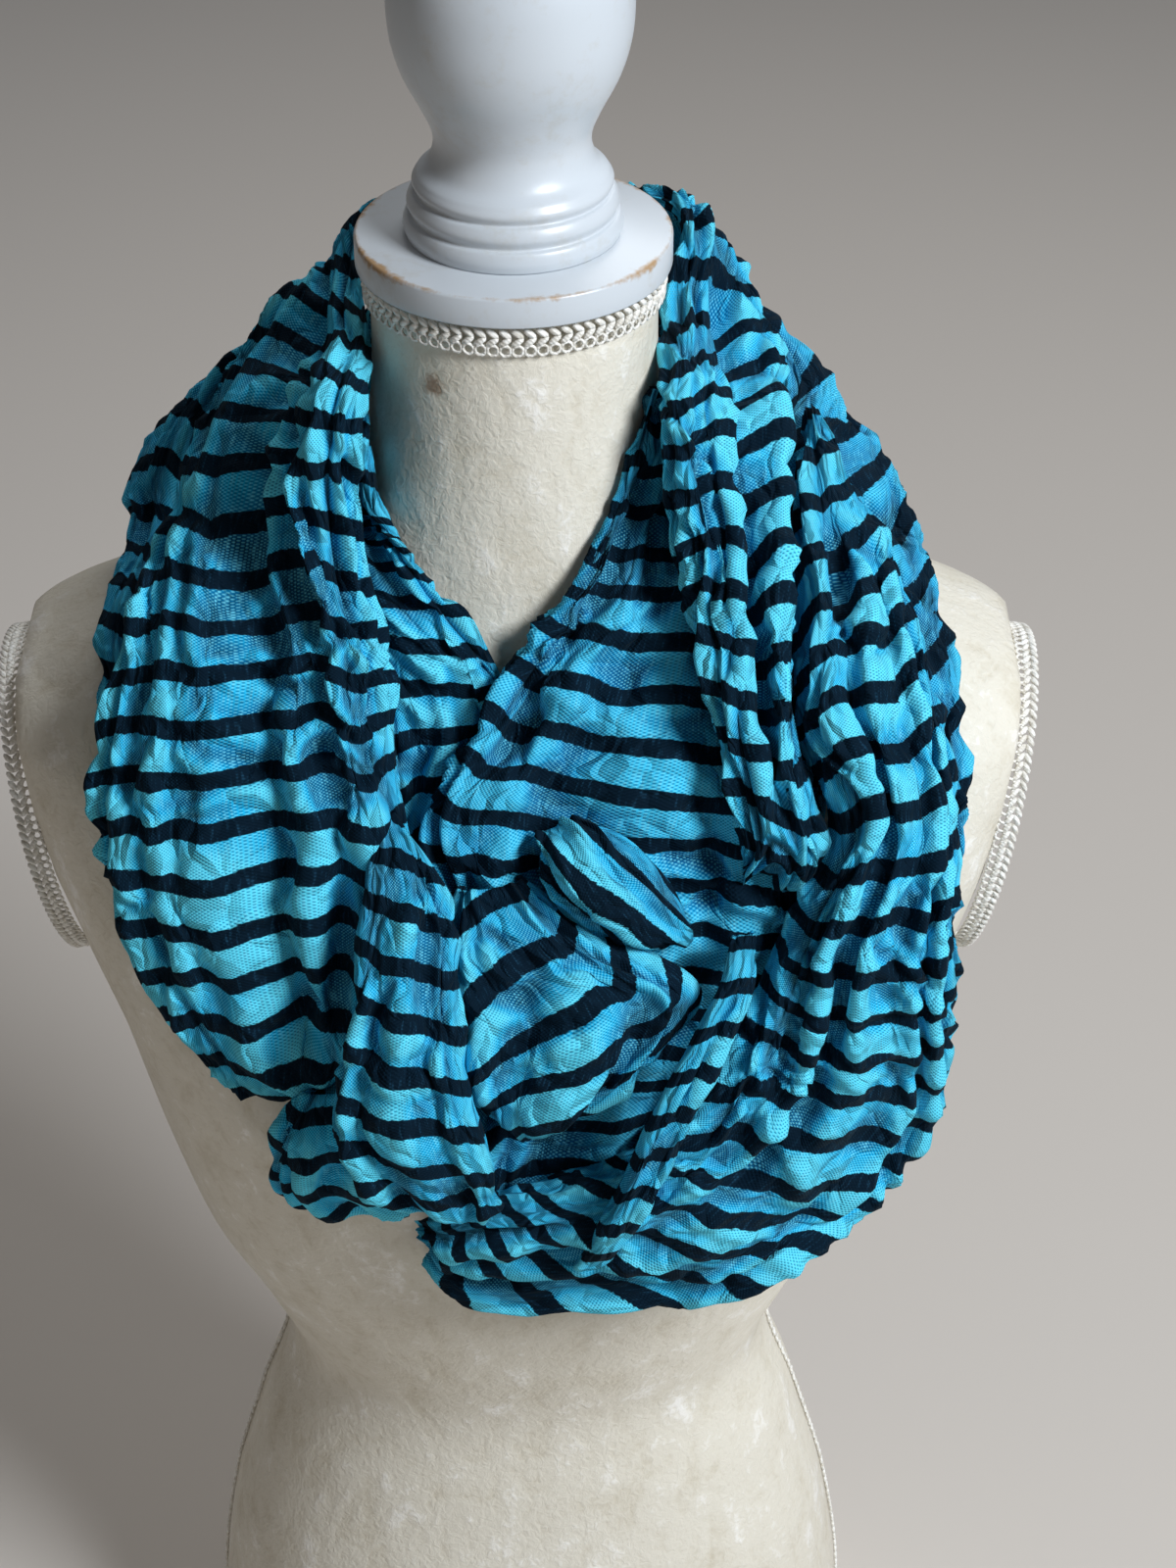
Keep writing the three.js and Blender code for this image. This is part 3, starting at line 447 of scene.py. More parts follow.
def place_piece(
    piece: bpy.types.Object, material: bpy.types.Material, nodes: Iterable[str]
) -> None:
    """Dress a finished piece and tie it to the frame.

    Args:
        piece: Object whose mesh is final.
        material: Finish of the whole piece.
        nodes: Packed nodes that the piece stands for.
    """
    piece.data.materials.clear()
    piece.data.materials.append(material)
    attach(piece, "root")
    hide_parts(*nodes)
    LOG.info("%s: %d faces", piece.name, len(piece.data.polygons))


def add_node(
    tree: bpy.types.NodeTree, kind: str, inputs: dict | None = None, stops: Sequence = (), **settings: object
) -> bpy.types.Node:
    """Add a node with its settings, links and colour stops.

    Args:
        tree: Node tree that the node goes into.
        kind: Blender's name for the type of node.
        inputs: Values or sockets by input name or number.
        stops: Place and sRGB hex colour of each stop of a colour ramp.
        **settings: Properties of the node itself.

    Returns:
        The new node.
    """
    node = tree.nodes.new(kind)
    for key, value in settings.items():
        setattr(node, key, value)
    for key, value in (inputs or {}).items():
        if isinstance(value, bpy.types.NodeSocket):
            tree.links.new(value, node.inputs[key])
        else:
            node.inputs[key].default_value = value
    if stops:
        elements = node.color_ramp.elements
        while len(elements) < len(stops):
            elements.new(1.0)
        for element, (place, colour) in zip(elements, stops):
            element.position = place
            element.color = linear(colour)
    return node


def new_material(name: str) -> tuple[bpy.types.Material, Callable[..., bpy.types.Node]]:
    """Start an empty material.

    Args:
        name: Name of the material.

    Returns:
        The material, and the function that adds a node to it.
    """
    material = bpy.data.materials.new(name)
    material.use_nodes = True
    material.node_tree.nodes.clear()
    return material, partial(add_node, material.node_tree)


@dataclass(frozen=True)
class CrinkledGauze:
    """Crinkled cotton gauze, yarn-dyed: a soft matt plain weave whose threads show, with dark stripes
    woven across it. Its crests carry a painted highlight, and its creases and deep folds painted shade in a
    deeper blue."""

    name: str
    # Painted highlight on crests, the dye's own blue, painted shade in creases and deeper painted shade in
    # deep folds
    crest_highlight: str = "#5edff8"
    body: str = "#14b6e8"
    crease_shade: str = "#0574a4"
    fold_shade: str = "#02415f"
    # Painted highlight on the thread tops and painted shade in the gaps between threads
    thread_highlight: str = "#74dcf4"
    thread_gap_shade: str = "#076a9c"
    stripe: str = "#061a28"
    stripe_thread: str = "#2c5f7e"
    duty: float = 0.37
    stripe_softness: float = 0.012
    raggedness: float = 0.09
    unevenness: float = 0.25
    thread_mm: float = 1.2

    def material(self) -> bpy.types.Material:
        """Build the material, which reads the run's UV map and its stripe and relief attributes."""
        material, add = new_material(self.name)
        uv = add("ShaderNodeUVMap", uv_map="UVMap").outputs["UV"]
        stripe = add("ShaderNodeAttribute", attribute_name="stripe").outputs["Fac"]
        relief = add("ShaderNodeAttribute", attribute_name="relief").outputs["Fac"]
        # Ragged stripe edges, a thread or two deep: noise in cells of about 2 by 1 mm
        weft = add("ShaderNodeMapping", {"Vector": uv, "Scale": (500, 900, 1)}).outputs["Vector"]
        rag = add("ShaderNodeTexNoise", {"Vector": weft, "Scale": 1, "Detail": 2}).outputs["Fac"]
        ragged = add(
            "ShaderNodeMath", {0: rag, 1: self.raggedness, 2: stripe}, operation="MULTIPLY_ADD"
        ).outputs[0]
        turn = add("ShaderNodeMath", {0: ragged}, operation="FRACT").outputs[0]
        near = add("ShaderNodeMath", {0: turn, 1: 0.5}, operation="SUBTRACT").outputs[0]
        away = add("ShaderNodeMath", {0: near}, operation="ABSOLUTE").outputs[0]
        half, soft = self.duty / 2, self.stripe_softness
        dark = add(
            "ShaderNodeMapRange",
            {"Value": away, "From Min": half - soft, "From Max": half + soft, "To Min": 1.0, "To Max": 0.0},
            interpolation_type="SMOOTHSTEP",
        ).outputs["Result"]
        # Painted highlight on crests and painted shade in creases and deep folds, set by the relief, and the
        # dye is uneven over about 26 mm
        cloudy = add("ShaderNodeTexNoise", {"Vector": uv, "Scale": 38, "Detail": 3}).outputs["Fac"]
        level = add(
            "ShaderNodeMath", {0: cloudy, 1: self.unevenness, 2: relief}, operation="MULTIPLY_ADD"
        ).outputs[0]
        dye_and_painted_light = ((0.10, self.fold_shade), (0.35, self.crease_shade), (0.60, self.body), (0.90, self.crest_highlight))
        blue = add("ShaderNodeValToRGB", {"Fac": level}, stops=dye_and_painted_light).outputs["Color"]
        # Slubs: single thicker threads about 6 mm long, lighter on the blue with the painted thread
        # highlight, and blue in the dark
        slub_map = add("ShaderNodeMapping", {"Vector": uv, "Scale": (1500, 160, 1)}).outputs["Vector"]
        slub = add("ShaderNodeTexNoise", {"Vector": slub_map, "Scale": 1, "Detail": 1}).outputs["Fac"]
        # Plain weave: warp and weft as crossed waves, drawn a little coarser than the real threads
        pitch = 2 * math.pi / (self.thread_mm * MM)
        threads = add("ShaderNodeMapping", {"Vector": uv, "Scale": (pitch, pitch, 1)}).outputs["Vector"]
        split = add("ShaderNodeSeparateXYZ", {"Vector": threads})
        warp = add("ShaderNodeMath", {0: split.outputs["X"]}, operation="SINE").outputs[0]
        weft_wave = add("ShaderNodeMath", {0: split.outputs["Y"]}, operation="SINE").outputs[0]
        weave = add("ShaderNodeMath", {0: warp, 1: weft_wave}, operation="MULTIPLY").outputs[0]
        # Painted highlight on the thread tops and painted shade in the gaps between threads, both broken up
        # by the slubs
        tops = add(
            "ShaderNodeMapRange", {"Value": weave, "From Min": 0.0, "From Max": 0.7, "To Max": 0.6}
        ).outputs["Result"]
        gaps = add(
            "ShaderNodeMapRange", {"Value": weave, "From Min": -0.1, "From Max": -0.8, "To Max": 0.8}
        ).outputs["Result"]
        slub_share = add(
            "ShaderNodeMapRange", {"Value": slub, "From Min": 0.52, "From Max": 0.72, "To Max": 0.4}
        ).outputs["Result"]
        lit = add("ShaderNodeMath", {0: tops, 1: slub_share}, operation="ADD").outputs[0]
        night_share = add("ShaderNodeMath", {0: lit, 1: slub_share}, operation="MULTIPLY").outputs[0]
        pale = add(
            "ShaderNodeMix", {0: lit, 6: blue, 7: linear(self.thread_highlight)}, data_type="RGBA"
        ).outputs[2]
        open_weave = add(
            "ShaderNodeMix", {0: gaps, 6: pale, 7: linear(self.thread_gap_shade)}, data_type="RGBA"
        ).outputs[2]
        night = add(
            "ShaderNodeMix", {0: night_share, 6: linear(self.stripe), 7: linear(self.stripe_thread)},
            data_type="RGBA",
        ).outputs[2]
        colour = add("ShaderNodeMix", {0: dark, 6: open_weave, 7: night}, data_type="RGBA").outputs[2]
        # Fine crinkle that the mesh is too coarse for: facets of about 7 by 16 mm between sharp breaks
        bend = add("ShaderNodeTexNoise", {"Vector": uv, "Scale": 60, "Detail": 2}).outputs["Color"]
        shifted = add(
            "ShaderNodeVectorMath", {0: bend, 1: (0.012, 0.012, 0.0), 2: uv}, operation="MULTIPLY_ADD"
        ).outputs["Vector"]
        crinkle = add("ShaderNodeMapping", {"Vector": shifted, "Scale": (135, 62, 1)}).outputs["Vector"]
        facets = add("ShaderNodeTexVoronoi", {"Vector": crinkle, "Scale": 1}, feature="DISTANCE_TO_EDGE")
        crinkled = add(
            "ShaderNodeBump", {"Height": facets.outputs["Distance"], "Strength": 1.0, "Distance": 0.006}
        ).outputs["Normal"]
        woven = add(
            "ShaderNodeBump", {"Height": weave, "Normal": crinkled, "Strength": 0.4, "Distance": 0.0003}
        ).outputs["Normal"]
        shader = add(
            "ShaderNodeBsdfPrincipled",
            {
                "Base Color": colour, "Normal": woven, "Roughness": 0.82,
                "Specular IOR Level": 0.06, "Sheen Weight": 0.02, "Sheen Roughness": 0.45,
                "Sheen Tint": linear("#bfe8f6"),
            },
        )
        add("ShaderNodeOutputMaterial", {"Surface": shader.outputs["BSDF"]})
        return material


@dataclass(frozen=True)
class CrinkleLayer:
    """One layer of sharp folds: height and cell size in millimetres, and how often a cell folds back."""

    height: float
    along: float
    across: float
    turns: float

    def heights(self, seed: int, u: np.ndarray, w: np.ndarray, size: float = 1.0) -> np.ndarray:
        """Heights in millimetres.

        Args:
            seed: Chooses the pattern.
            u: Distance along the run.
            w: Distance across the cut cloth.
            size: Size of the cells against the usual.

        Returns:
            Heights of the same shape as u and w broadcast together.
        """
        return self.height * crumple(seed, u / self.along / size, w / self.across / size, self.turns)


LONG_PLEATS = CrinkleLayer(height=2.5, along=150, across=30, turns=1.9)
SHORT_PLEATS = CrinkleLayer(height=1.0, along=48, across=17, turns=1.4)
SLANTING_BREAKS = CrinkleLayer(height=2.1, along=40, across=40, turns=1.2)
SMALL_FACETS = CrinkleLayer(height=1.3, along=24, across=17, turns=1.25)


@dataclass
class ClothRun:
    """One unbroken run of the scarf, gathered between two edges and rising between them.

    Lengths are in millimetres, and a place along the run is counted in sections.

    Attributes:
        name: Name of the piece.
        nodes: Packed nodes that it stands for.
        sections: Rows of outer edge, inner edge and rise.
        folds: Rows of its deep folds.
        creases: Rows of the creases laid on the run.
        seed: Chooses the crinkle.
        cut_width: Width of the cloth that shows, opened out.
        slant: Places, and the turn of the stripes there in degrees.
        phase: Part of a stripe period at which the run starts.
        sway: How far the stripes wander.
        crinkle: Height of the crinkle against the usual.
        rests_on: Pieces that carry it; not used.
        settle: How far the outer and the inner edge sink.
        widen: Places, with how far the outer edge goes out and the inner edge in.
        ends: How far the first and the last section sink.
        tuck: Degrees by which each edge turns under.
        squareness: Power of the rounding across the run.
        reach: Sections looked ahead and behind for the run's direction.
        fold_run: Sections over which each of the folds comes and goes.
        wall: Thickness of the cloth.
        lean: How far a pleat leans over, as a share of its height.
        edge_share: Share of the width at each edge over which the crinkle grows.
        edge_crinkle: Share of the crinkle that is left at an edge.
        crowded: Spacing of rows, against the usual, below which the crinkle fades.
        least_crinkle: Share of the crinkle that is left where rows bunch.
        relief_depth: Height between the deepest painted shade and the brightest painted highlight.
        step_along: Spacing of the mesh along the run.
        step_across: Spacing of the mesh across it.
        stripe_period: Distance from stripe to stripe.
        pleat_size: Size of the pleats against the usual.
    """

    name: str
    nodes: tuple[str, ...]
    sections: tuple[tuple[float, ...], ...]
    folds: tuple[tuple[float, ...], ...]
    creases: tuple[tuple[float, ...], ...]
    seed: int
    cut_width: float
    slant: tuple[tuple[float, float], ...] = ((0.0, 0.0),)
    phase: float = 0.0
    sway: float = 3.5
    crinkle: float = 1.0
    rests_on: tuple[str, ...] = ("torso",)
    settle: tuple[float, float] = (0.0, 0.0)
    widen: tuple[tuple[float, float, float], ...] = ((0.0, 0.0, 0.0),)
    ends: tuple[float, float] = (0.0, 0.0)
    tuck: float = 35.0
    squareness: float = 0.8
    reach: float = 0.35
    fold_run: float = 0.9
    wall: float = 1.1
    lean: float = 0.7
    edge_share: float = 0.16
    edge_crinkle: float = 0.25
    crowded: float = 0.8
    least_crinkle: float = 0.15
    relief_depth: float = 7.0
    step_along: float = 2.0
    step_across: float = 1.5
    stripe_period: float = 18.0
    pleat_size: float = 1.25

    @property
    def last(self) -> int:
        """Number of the last section."""
        return len(self.sections) - 1

    def plain(self, t: np.ndarray, v: np.ndarray) -> np.ndarray:
        """Points of the run without folds.

        Args:
            t: Places along the run, counted in sections.
            v: Places across it, from 0 at the outer edge to 1 at the inner.

        Returns:
            Points in millimetres, one row per place along.
        """
        table = np.array(self.sections, float)
        at = spline(table, t)
        outer, inner, rise = at[:, :3], at[:, 3:6], at[:, 6]
        # The cloth runs on under its neighbour here and there
        place, out, further_in = zip(*self.widen)
        apart = unit(inner - outer)
        outer = outer - apart * np.interp(t, place, out)[:, None]
        inner = inner + apart * np.interp(t, place, further_in)[:, None]
        ahead, behind = (spline(table, t + d) for d in (self.reach, -self.reach))
        direction = (ahead[:, :3] + ahead[:, 3:6] - behind[:, :3] - behind[:, 3:6]) / 2
        across = inner - outer
        up = unit(np.cross(across, direction))
        tuck = math.radians(self.tuck)
        angle = -tuck + v * (math.pi + 2 * tuck)
        c, s = np.cos(angle), np.sin(angle)
        sideways = 0.5 - 0.5 * np.sign(c) * np.abs(c) ** self.squareness
        sunk = math.sin(tuck) ** self.squareness
        lift = (np.sign(s) * np.abs(s) ** self.squareness + sunk) / (1 + sunk)
        # An edge that is tucked into its neighbour sinks by the settle
        raised = rise[:, None] * lift - self.settle[0] * (1 - v) ** 2 - self.settle[1] * v**2
        # A run's end dives under the cloth that it comes out of
        dive = self.ends[0] * np.clip(1 - t, 0, 1) ** 2 + self.ends[1] * np.clip(1 - self.last + t, 0, 1) ** 2
        raised = (raised - dive[:, None])[..., None]
        return outer[:, None] + across[:, None] * sideways[None, :, None] + up[:, None] * raised

    @staticmethod
    def facing(points: np.ndarray) -> np.ndarray:
        """Outward unit vectors of a grid of points."""
        return unit(np.cross(np.gradient(points, axis=1), np.gradient(points, axis=0)))

    def relief_of(
        self, table: Sequence[Sequence[float]], t: np.ndarray, v: np.ndarray, wavy: float
    ) -> np.ndarray:
        """Depth of folds or creases in millimetres.

        Args:
            table: Rows of from, to, place at start, place at end, depth and half width.
            t: Places along the run, as a column.
            v: Places across the run, as a row.
            wavy: How far each line wanders sideways, as a share of the width.

        Returns:
            Heights, negative in troughs.
        """
        total = np.zeros(np.broadcast(t, v).shape)
        for number, (start, end, v0, v1, depth, half) in enumerate(table):
            share = np.clip((t - start) / (end - start), 0, 1)
            run = np.clip((t - start) / self.fold_run, 0, 1) * np.clip((end - t) / self.fold_run, 0, 1)
            wandering = wander(self.seed + 40 + number, t * 1.1, number * 3.7 + 0 * t)
            centre = v0 + (v1 - v0) * share + wavy * wandering
            uneven = 1 + (0.45 * wander(self.seed + 80 + number, t * 0.8, 0 * t) if wavy else 0)
            total += depth * uneven * run * run * (3 - 2 * run) * np.exp(-(((v - centre) / half) ** 2))
        return total

    def crinkles(self, u: np.ndarray, w: np.ndarray) -> tuple[np.ndarray, np.ndarray]:
        """Crinkle of the cloth: long pleats, shorter ones between them, slanting breaks and small facets.

        The softer layers here are a height in millimetres times noise with cells in millimetres.

        Args:
            u: Distance along the run in millimetres, as a column.
            w: Distance across the cut cloth in millimetres, as a row.

        Returns:
            Heights in millimetres, and the part of them that the long pleats make.
        """
        bent = w + 9 * wander(self.seed, u / 60, w / 45) + 2.0 * wander(self.seed + 1, u / 19, w / 22)
        uneven = 0.8 + 0.6 * wander(self.seed + 7, u / 75, w / 50)
        long_pleats = uneven * LONG_PLEATS.heights(self.seed + 2, u, bent, self.pleat_size)
        short_pleats = SHORT_PLEATS.heights(self.seed + 3, u, bent, self.pleat_size)
        slack = 0.9 * wander(self.seed + 4, u / 34, w / 30)
        breaks = SLANTING_BREAKS.heights(self.seed + 5, u + 0.8 * w, w - 0.5 * u)
        # Facets come and go over a few centimetres
        strength = np.clip(0.75 + 1.1 * wander(self.seed + 10, u / 50, w / 40), 0, 1.6)
        facets = strength * SMALL_FACETS.heights(self.seed + 9, u - 0.6 * w, w + 0.3 * u)
        grain = 0.25 * wander(self.seed + 6, u / 7, bent / 5)
        heights = long_pleats + short_pleats + slack + breaks + facets + grain
        return self.crinkle * heights, self.crinkle * long_pleats

    def build(self) -> bpy.types.Object:
        """Build the run as a thin closed wall with its UV map and attributes."""
        coarse_t, coarse_v = np.linspace(0, self.last, 8 * self.last + 1), np.linspace(0, 1, 41)
        coarse = self.plain(coarse_t, coarse_v)
        middle = coarse[:, 20]
        length = np.concatenate([[0], np.cumsum(np.linalg.norm(np.diff(middle, axis=0), axis=1))])
        girths = np.linalg.norm(np.diff(coarse, axis=1), axis=2).sum(axis=1)
        rows, columns = int(length[-1] / self.step_along) + 1, int(girths.max() / self.step_across) + 1
        u = np.linspace(0, length[-1], rows)
        t, v = np.interp(u, length, coarse_t), np.linspace(0, 1, columns)
        # Gathered cloth: the crinkle is measured between the girth of the run and the width it was cut
        girth = np.interp(u, length, girths)
        w = (v[None] - 0.5) * (self.cut_width + girth[:, None]) / 2
        points = self.plain(t, v)
        folds = self.relief_of(self.folds, t[:, None], v[None], 0.0)
        points = points + self.facing(points) * folds[..., None]
        creases = self.relief_of(self.creases, t[:, None], v[None], 0.012)
        crinkle, pleats = self.crinkles(u[:, None], w)
        # The cloth lies flatter at its edges, which turn under
        edge = np.clip(np.minimum(v, 1 - v)[None] / self.edge_share, 0, 1)
        edge = edge * (1 - self.edge_crinkle) + self.edge_crinkle
        # It lies flatter too where a turn crowds its rows together
        spacing = np.linalg.norm(np.gradient(points, axis=0), axis=2) / np.gradient(u)[:, None]
        crowding = np.clip(spacing / self.crowded, self.least_crinkle, 1)
        crinkle, pleats = crinkle * crowding, pleats * crowding
        height = (creases + crinkle) * edge
        up = self.facing(points)
        # The pleats lean over, now to one side and now to the other
        lean = self.lean * (0.5 + 0.9 * wander(self.seed + 8, u[:, None] / 130, w / 60)) * pleats * edge
        outside = points + up * height[..., None] + unit(np.gradient(points, axis=1)) * lean[..., None]
        inside = outside - up * self.wall
        piece = make_mesh(self.name, *self.shell(outside, inside))
        sway = self.sway * wander(self.seed + 20, u[:, None] / 70, w / 22)
        sway = sway + 0.3 * self.sway * wander(self.seed + 21, u[:, None] / 30, w / 8) + 0.35 * pleats
        # Stripes lie square to the run and are turned by the slant
        turn = np.radians(np.interp(t, *zip(*self.slant)))
        forward = np.concatenate([[0], np.cumsum(np.cos(turn[1:]) * np.diff(u))])
        sideways = (np.sin(turn) * girth)[:, None] * (v[None] - 0.5)
        stripes = (forward[:, None] + sideways + sway + 0.2 * folds) / self.stripe_period + self.phase
        # The relief sets the painted shade in creases and deep folds and the painted highlight on crests
        relief = np.clip(0.5 + (height + 0.1 * folds) / self.relief_depth, 0, 1)
        self.paint(piece, stripes, relief, u, w)
        return piece

    @staticmethod
    def shell(outside: np.ndarray, inside: np.ndarray) -> tuple[np.ndarray, list[list[int]]]:
        """Closed wall between two grids.

        Args:
            outside: Grid of points of the outer face.
            inside: Grid of the same size behind it.

        Returns:
            All points and the faces between them.
        """
        rows, columns = outside.shape[:2]
        index = np.arange(rows * columns).reshape(rows, columns)
        back = index + rows * columns
        a, b, c, d = index[:-1, :-1], index[:-1, 1:], index[1:, 1:], index[1:, :-1]
        front = np.stack([a, b, c, d], axis=-1).reshape(-1, 4)
        rear = np.stack([a, d, c, b], axis=-1).reshape(-1, 4) + rows * columns
        rim = np.concatenate([index[0], index[1:, -1], index[-1, -2::-1], index[-2:0:-1, 0]])
        behind = np.concatenate([back[0], back[1:, -1], back[-1, -2::-1], back[-2:0:-1, 0]])
        sides = np.stack([rim, behind, np.roll(behind, -1), np.roll(rim, -1)], axis=-1)
        faces = np.concatenate([front, rear, sides])
        return np.concatenate([outside.reshape(-1, 3), inside.reshape(-1, 3)]), faces.tolist()

    @staticmethod
    def paint(
        piece: bpy.types.Object, stripes: np.ndarray, relief: np.ndarray, u: np.ndarray, w: np.ndarray
    ) -> None:
        """Store the stripe count, the relief and a UV map in metres on the piece.

        Args:
            piece: The run's object.
            stripes: Stripe periods at each point of the grid.
            relief: Height from 0 to 1 at each point of the grid.
            u: Distance along the run.
            w: Distance across the cut cloth.
        """
        mesh = piece.data
        for name, values in (("stripe", stripes), ("relief", relief)):
            attribute = mesh.attributes.new(name, "FLOAT", "POINT")
            attribute.data.foreach_set("value", np.tile(values.ravel(), 2).astype(np.float32))
        grid = np.stack(np.broadcast_arrays(w, u[:, None]), axis=-1).reshape(-1, 2) * MM
        vertex_of = np.zeros(len(mesh.loops), np.int32)
        mesh.loops.foreach_get("vertex_index", vertex_of)
        layer = mesh.uv_layers.new(name="UVMap")
        layer.uv.foreach_set("vector", np.tile(grid, (2, 1))[vertex_of].astype(np.float32).ravel())


@dataclass
class Scarf:
    """The loop scarf: every run of it that shows, wound twice round the neck."""

    under: tuple[str, ...] = ("scarf_outer_loop", "scarf_crossing")

    def runs(self) -> list[ClothRun]:
        """List the runs from the skin of the form outwards."""
        return [
            ClothRun(
                "scarf_inner_loop", ("inner_left", "back_inner"),
                INNER_LOOP, INNER_LOOP_FOLDS, INNER_CREASES, seed=11, cut_width=120,
                phase=0.2, sway=5.0, slant=((0, 12), (13, 0)),
            ),
            ClothRun(
                "scarf_crossing", ("inner_right",),
                CROSSING, CROSSING_FOLDS, CROSSING_CREASES, seed=23, cut_width=190,
                phase=0.6, sway=4.0, crinkle=1.2, pleat_size=1.35, stripe_period=17.0,
                slant=((0, 4), (5, 14), (9, 12), (11, -16), (13, -20)),
                widen=((0, 0, 0), (2, 0, 0), (3, 14, 0), (8, 14, 0), (10, 0, 14), (13, 0, 14)),
            ),
            ClothRun(
                "scarf_outer_loop", ("left_back", "back_drape", "right_back"),
                OUTER_LOOP, OUTER_LOOP_FOLDS, OUTER_CREASES, seed=37, cut_width=110,
                phase=0.1, sway=2.5, pleat_size=1.7, stripe_period=21.0,
                slant=((0, 8), (9, 0), (12, -20), (14, -46), (17, -46), (21, -20)),
                widen=((0, 0, 0), (11, 0, 0), (12.5, 0, 16), (15, 0, 16), (17, 0, 0), (21, 0, 0)),
            ),
            ClothRun(
                "scarf_main_loop", ("left_panel", "back_main", "right_roll"),
                MAIN_LOOP, MAIN_LOOP_FOLDS, MAIN_CREASES, seed=41, cut_width=210,
                phase=0.35, sway=4.0, pleat_size=1.5, stripe_period=19.0, ends=(0.0, 12.0),
                slant=((0, 0), (16, 0), (18, -5), (25, -8)),
                widen=(
                    (0, 0, 0), (0.6, 0, 12), (3.4, 0, 12), (4.4, 0, 0), (8, 0, 0), (9, 0, 9), (11, 0, 12),
                    (13, 0, 0),
                ),
            ),
            ClothRun(
                "scarf_right_column", ("right_panel", "swag"),
                RIGHT_COLUMN, RIGHT_COLUMN_FOLDS, COLUMN_CREASES, seed=59, cut_width=190,
                phase=0.5, pleat_size=1.5, stripe_period=20.0,
                slant=((0, -14), (6, -18), (8, -34), (10, -48), (12, -36), (13, -22), (14, -10)),
                widen=((0, -14, 0), (2, -14, 0), (3.5, 0, 0), (18, 0, 0)),
            ),
            ClothRun(
                "scarf_twist_lower", ("twist_lower",),
                TWIST_LOWER, TWIST_LOWER_FOLDS, TWIST_LOWER_CREASES, seed=61, cut_width=150,
                phase=0.1, crinkle=0.9, slant=((0, -34), (5, -42)),
            ),
            ClothRun(
                "scarf_lower_lobe", ("lower_lobe",),
                LOWER_LOBE, LOWER_LOBE_FOLDS, LOWER_LOBE_CREASES, seed=73, cut_width=120,
                crinkle=0.9, slant=((0, 12), (4, 18)), widen=((0, 0, 8), (2, 0, 5), (3, 0, 0)),
            ),
            ClothRun(
                "scarf_centre_panel", ("centre_panel",),
                CENTRE_PANEL, CENTRE_PANEL_FOLDS, CENTRE_PANEL_CREASES, seed=83, cut_width=100,
                phase=0.4, crinkle=0.8, slant=((0, 10), (8, 24)),
                widen=((0, 0, 0), (1, 0, 6), (5, 0, 6), (6, 6, 0), (7, 6, 0), (8, 0, 0)),
            ),
            ClothRun(
                "scarf_twist_upper", ("twist_upper",),
                TWIST_UPPER, TWIST_UPPER_FOLDS, TWIST_UPPER_CREASES, seed=97, cut_width=100,
                crinkle=0.8, tuck=14.0, squareness=0.95, settle=(3.0, 4.0), stripe_period=16.0,
                slant=((0, 75), (4, 88)),
            ),
            ClothRun(
                "scarf_swag_strip", ("swag_strip",),
                SWAG_STRIP, SWAG_STRIP_FOLDS, SWAG_STRIP_CREASES, seed=101, cut_width=60,
                phase=0.3, crinkle=0.5, tuck=20.0, settle=(7.0, 1.0), ends=(10.0, 0.0),
            ),
        ]

    def build(self) -> None:
        """Build and dress every run, tie it to the frame and hide the packed nodes that it stands for."""
        bright = CrinkledGauze("crinkled_cotton_gauze").material()
        # The runs that lie under the others get a deeper blue copy of the gauze, as painted shade
        shaded = CrinkledGauze(
            "crinkled_cotton_gauze_painted_shade", crest_highlight="#3cc2ea", body="#0c98cc", crease_shade="#045e92"
        ).material()
        for run in self.runs():
            piece = run.build()
            place_piece(piece, shaded if run.name in self.under else bright, run.nodes)


